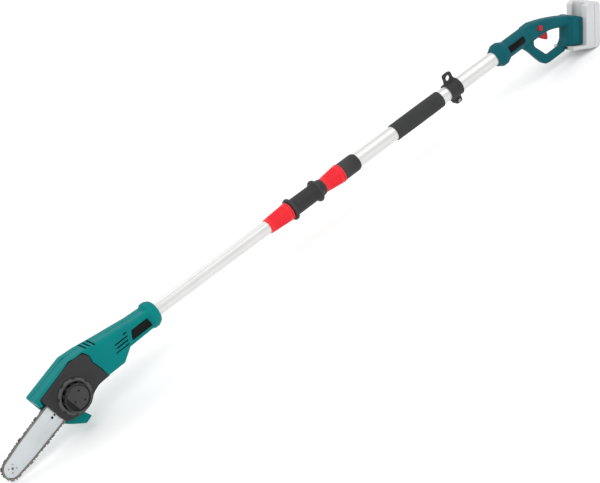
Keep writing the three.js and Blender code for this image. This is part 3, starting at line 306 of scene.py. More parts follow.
def carved(piece: bpy.types.Object, *tools: bpy.types.Object) -> None:
    """Cuts closed tool shapes out of a piece and removes the tools."""
    for tool in tools:
        apply(piece, "BOOLEAN", operation="DIFFERENCE", solver="EXACT", object=tool)
        bpy.data.objects.remove(tool)


# ------------------------------------------------------------------ finishes
def linear(colour: str) -> tuple[float, float, float, float]:
    """Turns an sRGB hex colour to linear values."""
    parts = [int(colour[i:i + 2], 16) / 255 for i in (1, 3, 5)]
    r, g, b = (c / 12.92 if c <= 0.04045 else ((c + 0.055) / 1.055) ** 2.4 for c in parts)
    return r, g, b, 1.0


def add(tree: bpy.types.NodeTree, kind: str, links: dict | None = None, **settings: object):
    """Adds a shader node with its settings and links.

    Args:
        tree: the material's node tree.
        kind: the node's type name.
        links: input name to the output socket that feeds it.
        settings: attribute values, or input values where no attribute has that name.

    Returns:
        The new node.
    """
    node = tree.nodes.new(kind)
    for key, value in settings.items():
        if hasattr(node, key):
            setattr(node, key, value)
        else:
            node.inputs[key.replace("_", " ")].default_value = value
    for key, source in (links or {}).items():
        tree.links.new(source, node.inputs[key])
    return node


class Grain(Enum):
    """How a surface was made, as the stretch of its pattern along X, Y and Z."""

    MOULDED = (1.0, 1.0, 1.0)
    DRAWN = (0.02, 1.0, 1.0)
    GROUND = (1.0, 1.0, 0.05)


@dataclass(frozen=True)
class Finish:
    """One material: what it is made of and how its surface was made."""

    name: str
    slot: str
    colour: str
    second: str
    roughness: float
    metallic: float = 0.0
    ior: float = 1.5
    coat: float = 0.0
    shine: float = 0.5
    grain: Grain = Grain.MOULDED
    grain_mm: float = 0.6
    bump_mm: float = 0.02
    spread: float = 0.5
    cells: bool = False
    edge: float = 0.0

    def material(self) -> bpy.types.Material:
        """Makes the material once and returns it."""
        found = bpy.data.materials.get(self.name)
        if found:
            return found
        material = bpy.data.materials.new(self.name)
        material.use_nodes = True
        tree = material.node_tree
        tree.nodes.clear()
        place = add(tree, "ShaderNodeTexCoord").outputs["Object"]
        # The pattern's size comes from the real grain in millimetres.
        stretch = [s / (self.grain_mm * MM) for s in self.grain.value]
        at = add(tree, "ShaderNodeMapping", {"Vector": place}, Scale=stretch).outputs[0]
        if self.cells:
            fine = add(tree, "ShaderNodeTexVoronoi", {"Vector": at}, Scale=1.0).outputs["Distance"]
        else:
            fine = add(tree, "ShaderNodeTexNoise", {"Vector": at}, Scale=1.0, Detail=3.0).outputs[0]
        # Slow drift of tone across a hand's breadth, from moulding flow, handling and dust.
        slow = add(tree, "ShaderNodeTexNoise", {"Vector": place}, Scale=18.0, Detail=5.0).outputs[0]
        tone = add(tree, "ShaderNodeMapRange", {"Value": slow}, From_Min=0.35, From_Max=0.7,
                   To_Min=0.0, To_Max=self.spread).outputs[0]
        mix = add(tree, "ShaderNodeMix", {"Factor": tone}, data_type="RGBA")
        mix.inputs[6].default_value = linear(self.colour)
        mix.inputs[7].default_value = linear(self.second)
        colour = mix.outputs[2]
        if self.edge:
            # Sharp corners turn paler: partly wear from use, partly a painted highlight along the edges.
            edge_pointiness = add(tree, "ShaderNodeNewGeometry").outputs["Pointiness"]
            share = add(tree, "ShaderNodeMapRange", {"Value": edge_pointiness}, From_Min=0.53, From_Max=0.62,
                        To_Min=0.0, To_Max=self.edge).outputs[0]
            edge_highlight_and_wear = add(tree, "ShaderNodeMix", {"Factor": share}, data_type="RGBA")
            tree.links.new(colour, edge_highlight_and_wear.inputs[6])
            edge_highlight_and_wear.inputs[7].default_value = (0.75, 0.75, 0.75, 1)
            colour = edge_highlight_and_wear.outputs[2]
        rough = add(tree, "ShaderNodeMapRange", {"Value": fine}, From_Min=0.2, From_Max=0.8,
                    To_Min=self.roughness * 0.82, To_Max=min(1.0, self.roughness * 1.2)).outputs[0]
        bump = add(tree, "ShaderNodeBump", {"Height": fine}, Strength=0.6,
                   Distance=self.bump_mm * MM).outputs[0]
        surface = add(tree, "ShaderNodeBsdfPrincipled",
                      {"Base Color": colour, "Roughness": rough, "Normal": bump},
                      Metallic=self.metallic, IOR=self.ior, Coat_Weight=self.coat,
                      Specular_IOR_Level=self.shine)
        add(tree, "ShaderNodeOutputMaterial", {"Surface": surface.outputs[0]})
        return material


# Injection-moulded ABS with a light satin skin: even colour, soft broad highlights.
HEAD_ABS = Finish("moulded_abs_head_teal", "head_teal", "#027B7A", "#02706F", 0.38, ior=1.53,
                  shine=0.06, edge=0.03)
# The same plastic from a coarser, darker mould: less shine where the hand holds it.
HANDLE_ABS = Finish("moulded_abs_handle_teal", "handle_teal", "#025760", "#024D55", 0.46, ior=1.53,
                    shine=0.1, grain_mm=0.8, edge=0.03)
# Glass-filled nylon, spark-textured: dull black with a dry grey sheen on its edges.
NYLON = Finish("spark_textured_nylon", "black_plastic", "#2A2A2B", "#333233", 0.55, ior=1.53,
               shine=0.25, grain_mm=0.7, bump_mm=0.05, edge=0.08)
# Polished acetal, for the knob's face: smoother and greyer.
ACETAL = Finish("polished_acetal", "black_plastic", "#363536", "#413F40", 0.34, ior=1.48,
                shine=0.3, bump_mm=0.01)
# Glossy black nylon, for the tension ring and the knob's rim: darker than the cover behind them.
DARK_NYLON = Finish("glossy_black_nylon", "black_plastic", "#0B0B0D", "#131315", 0.36, ior=1.53,
                    shine=0.2, bump_mm=0.02, edge=0.1)
# Printed label film: nearly black with a low sheen, no lettering.
LABEL = Finish("printed_label_film", "black_plastic", "#070708", "#0E0E0F", 0.45,
               ior=1.49, shine=0.12, bump_mm=0.005)
# Dyed polypropylene: bright red, slightly waxy.
RED_PP = Finish("dyed_polypropylene_red", "red_plastic", "#EA2531", "#DA1F2A", 0.4, ior=1.49,
                shine=0.25, edge=0.05)
# The trigger and button take a darker red than the nuts.
DARK_RED_PP = Finish("dyed_polypropylene_dark_red", "red_plastic", "#B41E2A", "#A21A25", 0.42,
                     ior=1.49, shine=0.25)
# Closed-cell foam: open pores about 1 mm across, no shine. Drawn a little coarse so that it shows.
FOAM = Finish("closed_cell_foam", "foam", "#2C2D2D", "#363737", 0.93, grain_mm=1.4, bump_mm=0.25,
              cells=True)
# Drawn aluminium tube, lacquered silver: fine lines run along it.
TUBE = Finish("lacquered_drawn_aluminium", "pole_tube", "#DCDCDA", "#CFD0CF", 0.32, metallic=0.6,
              coat=0.3, grain=Grain.DRAWN, grain_mm=0.5, bump_mm=0.008)
# Ground bar steel: fine scratches across the blade.
BAR_STEEL = Finish("ground_bar_steel", "bar_steel", "#CFD4D6", "#B9BFC2", 0.32, metallic=0.9,
                   grain=Grain.GROUND, grain_mm=0.5, bump_mm=0.012)
# Chrome-faced cutters and links under a film of bar oil: brown-grey and patchy.
CHAIN_STEEL = Finish("oiled_chain_steel", "chain_steel", "#8C8A84", "#504D48", 0.4, metallic=0.7,
                     spread=0.9, bump_mm=0.02)
# Zinc-plated screws, shafts and gears: grey, with a slight mottle.
ZINC = Finish("zinc_plated_steel", "machine_steel", "#A9ABAC", "#8F9294", 0.35, metallic=1.0)
# Extruded rubber cable sheath: matt black.
RUBBER = Finish("extruded_rubber_sheath", "lead_rubber", "#1E1E1F", "#28282A", 0.7)
# Painted shade: dark plugs pressed into the two blind holes of the bar, standing for the shadow seen
# through open holes.
HOLE_SHADE = Finish("painted_hole_shade", "lead_rubber", "#0C0C0D", "#141415", 0.6, shine=0.2)
# Pale polycarbonate blend: fine dull texture.
PALE_PC = Finish("textured_polycarbonate_pale", "pack_grey", "#C8C9CA", "#BCBDBE", 0.48, ior=1.57,
                 bump_mm=0.03, edge=0.1)
# Shrunk PVC sleeve of a cell: thin and glossy.
SLEEVE = Finish("shrunk_pvc_sleeve", "cell_wrap", "#3E78B0", "#356A9C", 0.3, ior=1.53)
BY_SLOT = {f.slot: f for f in (HEAD_ABS, HANDLE_ABS, NYLON, RED_PP, FOAM, TUBE, BAR_STEEL,
                               CHAIN_STEEL, ZINC, RUBBER, PALE_PC, SLEEVE)}


def hand_in(
    piece: bpy.types.Object, finish: Finish, body: str, *nodes: str, smooth: float = 35
) -> bpy.types.Object:
    """Dresses a finished piece and fixes it to its body.

    Args:
        piece: the mesh.
        finish: its material.
        body: the CAD body that it moves with.
        nodes: CAD nodes that it stands for.
        smooth: edges under this angle, in degrees, are shaded smooth.

    Returns:
        The same piece.
    """
    pick(piece)
    bpy.ops.object.transform_apply(location=True, rotation=True, scale=True)
    bpy.ops.object.shade_smooth_by_angle(angle=math.radians(smooth))
    piece.data.materials.clear()
    piece.data.materials.append(finish.material())
    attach(piece, body)
    if nodes:
        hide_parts(*nodes)
    LOG.info("%s: %d faces on %s", piece.name, len(piece.data.polygons), body)
    return piece


# ------------------------------------------------------------------ pole
@dataclass
class Pole:
    """Tubes, lock nuts, coupling, sleeve, foam grip and strap hanger."""

    wall: float = 1.4
    sides: int = 96
    rib_pairs: int = 22
    running_bore: float = 14.4  # of what turns or slides on the inner or front tube
    fitted_bore: float = 14.3  # of what is fixed to the inner or front tube
    outer_bore: float = 16.3  # of what sits on the outer tube
    front_collet: float = 24
    rear_collet: float = 12
    flange_height: float = 6.3
    flange_back: float = 18  # from the coupling's rear end to its rear flange
    axis: Vector = field(default_factory=lambda: middle("outer_tube"))

    def build(self) -> None:
        """Builds and dresses every piece of the pole."""
        for node, body in (("outer_tube", "handle_pole"), ("inner_tube", "inner_section"),
                           ("front_tube", "saw_head")):
            self.tube(node, body)
        self.nut("front_lock_nut", "front_nut")
        self.nut("rear_lock_nut", "rear_nut")
        self.coupling()
        self.sleeve()
        self.grip()
        self.hanger()

    def tube(self, node: str, body: str) -> None:
        """Turns one tube with eased ends."""
        low, high = box_mm(node)
        radius = (high.z - low.z) / 2
        bore = radius - self.wall
        piece = turned(f"{node}_drawn", [
            (low.x, bore), (low.x, radius - 0.3), (low.x + 0.3, radius), (high.x - 0.3, radius),
            (high.x, radius - 0.3), (high.x, bore), (low.x, bore),
        ], self.axis, Axis.X, self.sides)
        hand_in(piece, TUBE, body, node)

    def nut(self, node: str, body: str) -> None:
        """Turns a ribbed cone that is narrow towards the saw head."""
        low, high = box_mm(node)
        outer = (high.z - low.z) / 2
        bore = self.running_bore
        sides = self.rib_pairs * 4
        piece = turned(f"{node}_ribbed", [
            (low.x, bore), (low.x, bore + 0.9), (low.x + 1.2, bore + 1.5), (low.x + 4, bore + 2),
            (low.x + 9, bore + 2.4), (high.x - 12, outer - 1), (high.x - 7, outer - 0.3),
            (high.x - 5.6, outer - 0.3), (high.x - 5.2, outer - 1.7), (high.x - 4, outer - 1.7),
            (high.x - 3.5, outer - 0.2), (high.x - 1, outer - 0.2), (high.x, outer - 1.2),
            (high.x, outer - 3), (high.x - 11, outer - 3), (high.x - 11, bore), (low.x, bore),
        ], self.axis, Axis.X, sides)
        strip = column(self.axis, Axis.X, sides)
        start, end = (low.x + 9) * MM, (high.x - 12) * MM
        pressed(piece, lambda at, n: start < at.x < end and strip(at) % 4 < 2
                and n.dot(at - self.axis) > 0, 0.25, -1.1)
        hand_in(piece, RED_PP, body, node, smooth=28)

    def coupling(self) -> None:
        """Turns the coupling: two finger flanges and a ribbed waist."""
        low, high = box_mm("pole_coupling")
        front = low.x + self.front_collet  # the collet goes inside the lock nut
        flange = (high.z - low.z) / 2
        body, bore, rear = flange - self.flange_height, self.fitted_bore, high.x - self.flange_back
        piece = turned("pole_coupling_flanged", [
            (low.x, bore), (low.x, bore + 2.2), (front, bore + 2.2), (front, flange - 2.4),
            (front + 1.5, flange - 0.6), (front + 3, flange), (front + 6, flange),
            (front + 7, flange - 0.8), (front + 9, body + 1.2), (front + 11, body + 0.4),
            (rear - 10, body), (rear - 6, body + 1.6), (rear - 3, flange - 0.8), (rear - 1.5, flange),
            (rear + 1.5, flange), (rear + 3, flange - 0.8), (rear + 6, body + 1.8),
            (rear + 9, body + 0.6), (high.x - 1, bore + 2.6), (high.x, bore + 1.9), (high.x, bore),
            (low.x, bore),
        ], self.axis, Axis.X, self.sides)
        strip = column(self.axis, Axis.X, self.sides)
        pressed(piece, lambda at, n: (front + 11) * MM < at.x < (rear - 10) * MM
                and strip(at) % 8 < 5 and n.dot(at - self.axis) > 0, 0.5, -0.5)
        hand_in(piece, NYLON, "inner_section", "pole_coupling")

    def sleeve(self) -> None:
        """Turns the clamp sleeve at the mouth of the outer tube."""
        low, high = box_mm("clamp_sleeve")
        skin = (high.z - low.z) / 2
        start, inner, outer = low.x + self.rear_collet, self.running_bore, self.outer_bore
        piece = turned("clamp_sleeve_turned", [
            (low.x, inner), (low.x, skin - 2.1), (start + 0.5, skin - 2.1), (start + 0.5, skin - 0.8),
            (start + 1.6, skin), (high.x - 8, skin), (high.x - 4, skin - 0.5), (high.x - 1.5, skin - 1.5),
            (high.x, skin - 2.7), (high.x, outer), (start + 4, outer), (start + 4, inner),
            (low.x, inner),
        ], self.axis, Axis.X)
        hand_in(piece, NYLON, "handle_pole", "clamp_sleeve")

    def grip(self) -> None:
        """Turns the foam grip, rolled at its ends and slightly crowned."""
        low, high = box_mm("foam_grip")
        skin, steps, bore = (high.z - low.z) / 2, 16, self.outer_bore
        outside = [(low.x, bore), (low.x, skin - 1.2), (low.x + 0.5, skin - 0.5)]
        outside += [
            (low.x + 2 + (high.x - low.x - 4) * i / steps,
             skin - 0.25 + 0.25 * math.sin(math.pi * i / steps)) for i in range(steps + 1)
        ]
        outside += [(high.x - 0.5, skin - 0.5), (high.x, skin - 1.2), (high.x, bore), (low.x, bore)]
        piece = turned("foam_grip_rolled", outside, self.axis, Axis.X, self.sides)
        hand_in(piece, FOAM, "handle_pole", "foam_grip")

    def hanger(self) -> None:
        """Rounds the strap hanger and gives it a socket screw and a nut."""
        hand_in(moulded("hanger_clamp", "hanger_clamp_moulded", 0.7), NYLON, "handle_pole",
                "hanger_clamp")
        screw(node="hanger_screw", body="handle_pole", head_low=True, head=3.8, shank=1.9)
        nut = copied("hanger_nut", "hanger_nut_chamfered")
        soften(nut, 0.4)
        hand_in(nut, ZINC, "handle_pole", "hanger_nut")


def screw(node: str, body: str, head_low: bool, head: float, shank: float) -> None:
    """Makes a screw along Y with a domed head and a six-sided socket.

    Args:
        node: the CAD node that it stands for.
        body: the body it is driven into.
        head_low: True where the head is at the low Y end.
        head: head radius in millimetres.
        shank: shank radius in millimetres.
    """
    low, high = box_mm(node)
    way, top, tip = (1, low.y, high.y) if head_low else (-1, high.y, low.y)
    centre = middle(node)
    piece = turned(f"{node}_socket", [
        (top, 0), (top, head * 0.62), (top + way * 0.5, head * 0.9), (top + way * 1.2, head),
        (top + way * 2.8, head), (top + way * 2.8, shank), (tip - way * 1, shank),
        (tip, shank * 0.6), (tip, 0),
    ], centre, Axis.Y, 32)
    ends = sorted((top - way, top + way * 1.6))
    reach = head * 0.5
    socket = cut_plate("socket_tool", [
        (centre.x / MM + reach * math.cos(TURN * i / 6), centre.z / MM + reach * math.sin(TURN * i / 6))
        for i in range(6)
    ], *ends)
    carved(piece, socket)
    hand_in(piece, ZINC, body, node)


# ------------------------------------------------------------------ saw head
@dataclass
class SawHead:
    """Housing, cover, knob, tension ring, bar and chain."""

    bar_half: float = 23.5
    nose_radius: float = 18.5
    nose_reach: float = 180.5
    tail: float = 14
    sprocket_back: float = 38
    sprocket_radius: float = 15.4
    link_pitch: float = 16.5
    ring_bore: float = 30.2
    ring_lobes: int = 8
    scoop_radius: float = 6.8
    notch_turn: float = math.radians(-160)  # middle of the notch in the knob's face
    notch_half: float = math.radians(54)
    marks: tuple[Point, ...] = ((14, 1.0), (16, -0.85), (10, -2.7))  # reach and turn of each
    pin_hole: Point = (24, 2.8)  # place along the bar and radius
    dots: tuple[Point, ...] = ((50.5, 2.3), (57.5, 2.8))  # the same for the two blind holes
    strap_in: float = 1.1  # near face of a chain strap from the bar's middle plane
    strap_out: float = 2.4
    knob_at: Vector = field(default_factory=lambda: middle("clamp_knob") / MM)
    bar_y: float = field(default_factory=lambda: middle("guide_bar").y / MM)

    def build(self) -> None:
        """Builds and dresses every piece of the head."""
        for node in ("head_shell_cover_side", "head_shell_far_side"):
            hand_in(moulded(node, f"{node}_moulded", 1.1, 3), HEAD_ABS, "saw_head", node)
        hand_in(moulded("branch_hook", "branch_hook_moulded", 0.8), HEAD_ABS, "saw_head", "branch_hook")
        hand_in(moulded("sprocket_cover", "sprocket_cover_moulded", 1.0, 3), NYLON, "saw_head",
                "sprocket_cover")
        for i in (1, 2, 3):
            screw(f"head_screw_{i}", "saw_head", False, 3.3, 1.7)
        self.badge("head_badge")
        self.ring()
        self.knob()
        self.bar()
        self.chain()

    def on_bar(self, along: float, up: float) -> Point:
        """A place on the bar: along from the knob to the nose, up from its middle line."""
        c, s = math.cos(BAR_ANGLE), math.sin(BAR_ANGLE)
        return (self.knob_at.x - c * along - s * up, self.knob_at.z - s * along + c * up)

    def bar_point(self, along: float, up: float = 0) -> Vector:
        """The same place as a point in the bar's middle plane, in metres."""
        x, z = self.on_bar(along, up)
        return Vector((x, self.bar_y, z)) * MM

    def badge(self, node: str) -> None:
        """Gives a plain label plate a raised rim."""
        plate = copied(node, f"{node}_plate")
        with editing(plate):
            bpy.ops.mesh.select_all(action="SELECT")
            bpy.ops.mesh.dissolve_limited(angle_limit=0.02)
        pressed(plate, lambda at, n: n.y < -0.9, 1.2, -0.3)
        hand_in(plate, LABEL, "saw_head", node)

    def ring(self) -> None:
        """Turns the tension ring round the knob and scoops its rim into lobes for the fingers."""
        low, high = box_mm("tension_ring")
        centre, skin, bore = middle("tension_ring"), (high.x - low.x) / 2, self.ring_bore
        ring = turned("tension_ring_lobed", [
            (high.y, bore), (low.y + 0.8, bore), (low.y, bore + 0.8), (low.y, skin - 1.6),
            (low.y + 0.5, skin - 0.5), (low.y + 1.6, skin), (high.y - 0.5, skin), (high.y, skin - 0.5),
            (high.y, bore),
        ], centre, Axis.Y, 96)
        scoops = []
        for i in range(self.ring_lobes):
            turn = TURN * (i + 0.5) / self.ring_lobes
            at = centre + Vector((math.cos(turn), 0, math.sin(turn))) * (skin + 4) * MM
            scoops.append(turned("scoop_tool", [
                (low.y - 1, 0), (low.y - 1, self.scoop_radius), (high.y + 1, self.scoop_radius),
                (high.y + 1, 0),
            ], at, Axis.Y, 32))
        carved(ring, *scoops)
        soften(ring, 0.4, 2)
        hand_in(ring, DARK_NYLON, "ring", "tension_ring")

    def knob(self) -> None:
        """Turns the clamp knob with a raised rim, notches its side and sets in a marked face."""
        low, high = box_mm("clamp_knob")
        centre, radius, sides = middle("clamp_knob"), (high.x - low.x) / 2, 96
        knob = turned("clamp_knob_rim", [
            (low.y + 2.6, 0), (low.y + 2.6, radius - 3.8), (low.y + 0.5, radius - 3.4),
            (low.y, radius - 2.9), (low.y, radius - 1.6), (low.y + 0.6, radius - 0.8),
            (low.y + 2.4, radius), (high.y - 1, radius), (high.y, radius - 0.8), (high.y, 4.3),
            (low.y + 6.5, 4.3), (low.y + 6.5, 0),
        ], centre, Axis.Y, sides)
        strip = column(centre, Axis.Y, sides)
        pressed(knob, lambda at, n: (low.y + 2.4) * MM < at.y < (high.y - 1) * MM
                and strip(at) % 8 < 4 and n.dot(at - centre) > 0.01, 0.4, -0.9)
        hand_in(knob, DARK_NYLON, "knob", "clamp_knob")
        face = turned("clamp_knob_face", [
            (low.y + 2.5, 0), (low.y + 1.2, 0), (low.y + 1.2, radius - 5), (low.y + 1.6, radius - 4.4),
            (low.y + 2.5, radius - 4.4), (low.y + 2.5, 0),
        ], centre, Axis.Y)
        x, z = centre.x / MM, centre.z / MM
        reach = radius - 4
        turns = [self.notch_turn + self.notch_half * (i / 6 - 1) for i in range(13)]
        bite = [(x + reach * math.cos(turn), z + reach * math.sin(turn)) for turn in turns]
        carved(face, cut_plate("chord_tool", bite, low.y, low.y + 4))
        hand_in(face, ACETAL, "knob")
        marks = [turned(f"mark_{i}", [
            (low.y + 1.1, 0), (low.y + 1.0, 2.1), (low.y + 1.6, 2.3), (low.y + 1.6, 0),
        ], centre + Vector((out * math.cos(turn), 0, out * math.sin(turn))) * MM, Axis.Y, 16)
            for i, (out, turn) in enumerate(self.marks)]
        hand_in(joined("clamp_knob_marks", marks), LABEL, "knob")

    def loop(self, offset: float) -> list[Point]:
        """The line that the chain runs on, moved outwards by an offset in millimetres."""
        points = []
        for i in range(25):
            angle = math.radians(84 - 7 * i)
            radius = self.nose_radius + offset
            points.append((self.nose_reach + radius * math.cos(angle), radius * math.sin(angle)))
        sides = [(0.78, 1.9), (0.64, 1.1), (0.5, 0.6), (0.37, 0.2), (0.24, 0), (0.12, 0.3), (0, 1.1)]
        lower = [(self.nose_reach * share, self.bar_half - drop + offset) for share, drop in sides]
        points += [(u, -w) for u, w in lower]
        for i in range(16):
            angle = math.radians(-105 - 10 * i)
            radius = self.sprocket_radius + offset
            points.append((radius * math.cos(angle) - self.sprocket_back, radius * math.sin(angle)))
        points += lower[::-1]
        return points

    def bar(self) -> None:
        """Cuts the guide bar with its groove, slot, holes and nose rivets."""
        y = self.bar_y
        blade = [p for p in self.loop(0) if p[0] >= 0]
        nose = [p for p in blade if p[0] > 0]
        tail = [(0, -22.4), (-self.tail + 3, -20.5), (-self.tail, -18), (-self.tail, 18),
                (-self.tail + 3, 20.5), (0, 22.4)]
        first = next(i for i, p in enumerate(nose) if p[1] < 0 and p[0] < 25)
        outline = nose[:first + 1] + tail + nose[first + 1:]
        bar = cut_plate("guide_bar_ground", [self.on_bar(u, w) for u, w in outline], y - 1.5, y + 1.5)
        tools = [
            cut_plate("slot_tool", [self.on_bar(u, w) for u, w in (
                (-self.tail - 1, 4.4), (-self.tail - 1, -4.4), (9, -4.4), (11.3, -2.5), (11.3, 2.5),
                (9, 4.4))], y - 3, y + 3),
        ]
        # The tension pin's hole goes right through, and the other two end inside the bar.
        holes = [(*self.pin_hole, 3), *((along, radius + 0.1, -0.9) for along, radius in self.dots)]
        for along, radius, deep in holes:
            tools.append(turned("hole_tool", [
                (y - 3, 0), (y - 3, radius), (y + deep, radius), (y + deep, 0),
            ], self.bar_point(along), Axis.Y, 24))
        nose_at = self.bar_point(self.nose_reach)
        tools.append(turned("nose_tool", [(y - 0.7, 3.4), (y - 0.7, 24.5), (y + 0.7, 24.5),
                                          (y + 0.7, 3.4), (y - 0.7, 3.4)], nose_at, Axis.Y, 48))
        carved(bar, *tools)
        soften(bar, 0.25, 1, 50)
        hand_in(bar, BAR_STEEL, "bar", "guide_bar")
        # Four small rivets round a large one; each spot is its reach, turn and radius.
        spots = [(8.5, TURN * (i + 0.5) / 4, 1.5) for i in range(4)] + [(0.0, 0.0, 2.9)]
        rivets = [turned(f"rivet_{i}", [
            (y - 1.8, 0), (y - 1.8, size - 0.5), (y - 1.5, size), (y + 1.5, size),
            (y + 1.8, size - 0.5), (y + 1.8, 0),
        ], self.bar_point(self.nose_reach + reach * math.cos(turn), reach * math.sin(turn)), Axis.Y, 20)
            for i, (reach, turn, size) in enumerate(spots)]
        hand_in(joined("bar_nose_rivets", rivets), CHAIN_STEEL, "bar")
        # Dark discs at the bottom of the two blind holes: painted shade where a real bar's holes go right
        # through.
        shade_plugs = [turned(f"shade_plug_{radius}", [
            (y - 1.3, 0), (y - 1.3, radius - 0.3), (y - 1.2, radius), (y - 0.92, radius), (y - 0.92, 0),
        ], self.bar_point(along), Axis.Y, 24) for along, radius in self.dots]
        hand_in(joined("bar_hole_shade_plugs", shade_plugs), HOLE_SHADE, "bar")

    def chain(self) -> None:
        """Makes each kind of link once and lays copies of it round the bar."""
        path = [Vector((u, w)) for u, w in self.loop(2.5)]
        path.append(path[0])
        gaps = [(b - a).length for a, b in pairwise(path)]
        total = sum(gaps)
        count = 2 * round(total / self.link_pitch / 2)
        step = total / count
        y = self.bar_y
        strap = [(-7.6, -1.2), (-6.6, -2.1), (6.6, -2.1), (7.6, -1.2), (7.8, 0.6), (6.8, 2.4),
                 (4.6, 2.6), (0, 1.5), (-4.6, 2.6), (-6.8, 2.4), (-7.8, 0.6)]
        drive = [(-6.4, 1.6), (-7.2, 0), (-6.0, -1.8), (-2.6, -2.3), (-0.9, -4.4), (1.2, -4.4),
                 (3.0, -2.3), (6.0, -1.8), (7.2, 0), (6.4, 1.6), (0, 1.8)]
        cutter = [(-7.4, -2.1), (7.4, -2.1), (7.8, 0.3), (7.0, 3.2), (5.0, 3.4), (3.9, 1.0),
                  (1.6, 0.9), (0.8, 3.9), (-6.6, 3.4), (-7.6, 0.4)]
        near, far = self.strap_in, self.strap_out
        straps = [cut_plate("strap", strap, y + a, y + b) for a, b in ((-far, -near), (near, far))]
        kinds = {
            "saw_chain_ties": joined("ties", straps),
            "saw_chain_drives": cut_plate("drives", drive, y - 0.55, y + 0.55),
            "saw_chain_cutters_left": self.cutter(cutter, y, -1),
            "saw_chain_cutters_right": self.cutter(cutter, y, 1),
            "saw_chain_rivets": joined("rivets", [
                turned(f"chain_rivet_{i}", [(y - 2.5, 0), (y - 2.5, 1.1), (y - 2.3, 1.5),
                                            (y + 2.3, 1.5), (y + 2.5, 1.1), (y + 2.5, 0)],
                       Vector((x, y, 0)) * MM, Axis.Y, 12) for i, x in enumerate((-4.1, 4.1))]),
        }
        laid: dict[str, list[bpy.types.Object]] = {name: [] for name in kinds}
        for i in range(count * 2):
            at, way = self.along(path, gaps, step * i / 2)
            if i % 2:
                kind = "saw_chain_drives"
            else:
                kind = ("saw_chain_cutters_left", "saw_chain_cutters_right",
                        "saw_chain_ties")[i // 2 % 3]
            laid[kind].append(self.placed(kinds[kind], at, way))
            if kind != "saw_chain_drives":
                laid["saw_chain_rivets"].append(self.placed(kinds["saw_chain_rivets"], at, way))
        for name, links in laid.items():
            piece = joined(name, links)
            if name == "saw_chain_drives":
                # The tails are cut back round the sprocket, which turns while the chain stays still.
                carved(piece, turned("teeth_room", [
                    (y - 2, 0), (y - 2, self.sprocket_radius), (y + 2, self.sprocket_radius), (y + 2, 0),
                ], middle("output_shaft"), Axis.Y, 64))
            nodes = ("saw_chain",) if name == "saw_chain_ties" else ()
            hand_in(piece, CHAIN_STEEL, "bar", *nodes)
            bpy.data.objects.remove(kinds[name])

    def cutter(self, outline: Sequence[Point], y: float, side: int) -> bpy.types.Object:
        """Makes a cutter with a side plate, a top plate and a plain strap opposite.

        Args:
            outline: side plate outline in millimetres.
            y: the bar's plane.
            side: -1 for a left cutter, 1 for a right one.

        Returns:
            The new mesh object.
        """
        near, far = side * self.strap_in, side * self.strap_out
        low, high = sorted((near, far))
        plate = cut_plate("plate", outline, y + low, y + high)
        lip = sorted((far, side * -0.6))
        top = cut_plate("top", [(-6.6, 2.6), (0.8, 3.2), (0.8, 3.9), (-6.6, 3.3)], y + lip[0], y + lip[1])
        plain = cut_plate("plain", [(-7.6, -1.2), (-6.6, -2.1), (6.6, -2.1), (7.6, -1.2), (7.6, 1.6),
                                    (0, 0.9), (-7.6, 1.6)], *sorted((y - near, y - far)))
        return joined("cutter", [plate, top, plain])

    @staticmethod
    def along(path: Sequence[Vector], gaps: Sequence[float], reach: float) -> tuple[Vector, Vector]:
        """A point on the path and its direction, at a distance round it."""
        for start, end, gap in zip(path, path[1:], gaps):
            if reach <= gap:
                return start.lerp(end, reach / gap), (end - start).normalized()
            reach -= gap
        return path[-1], (path[-1] - path[-2]).normalized()

    def placed(self, link: bpy.types.Object, at: Vector, way: Vector) -> bpy.types.Object:
        """Copies a link to a place on the loop.

        Args:
            link: the link, drawn round the origin with its outside up.
            at: (along, up) on the bar in millimetres.
            way: the direction the chain runs there.

        Returns:
            The copy, with its own mesh.
        """
        copy = link.copy()
        copy.data = link.data.copy()
        bpy.context.scene.collection.objects.link(copy)
        x, z = self.on_bar(at.x, at.y)
        ahead_x, ahead_z = self.on_bar(at.x + way.x, at.y + way.y)
        ahead = Vector((ahead_x - x, 0, ahead_z - z)).normalized()
        # A link's outside lies across the chain's direction, on the side away from the bar's middle.
        outward = Vector((-ahead.z, 0, ahead.x))
        centre = Vector(self.on_bar(self.nose_reach / 2, 0))
        if outward.dot(Vector((x - centre.x, 0, z - centre.y))) < 0:
            outward = -outward
        turn = Matrix((ahead, Vector((0, 1, 0)), outward)).transposed().to_4x4()
        turn.translation = Vector((x, 0, z)) * MM
        copy.data.transform(turn)
        if turn.determinant() < 0:
            copy.data.flip_normals()
        return copy


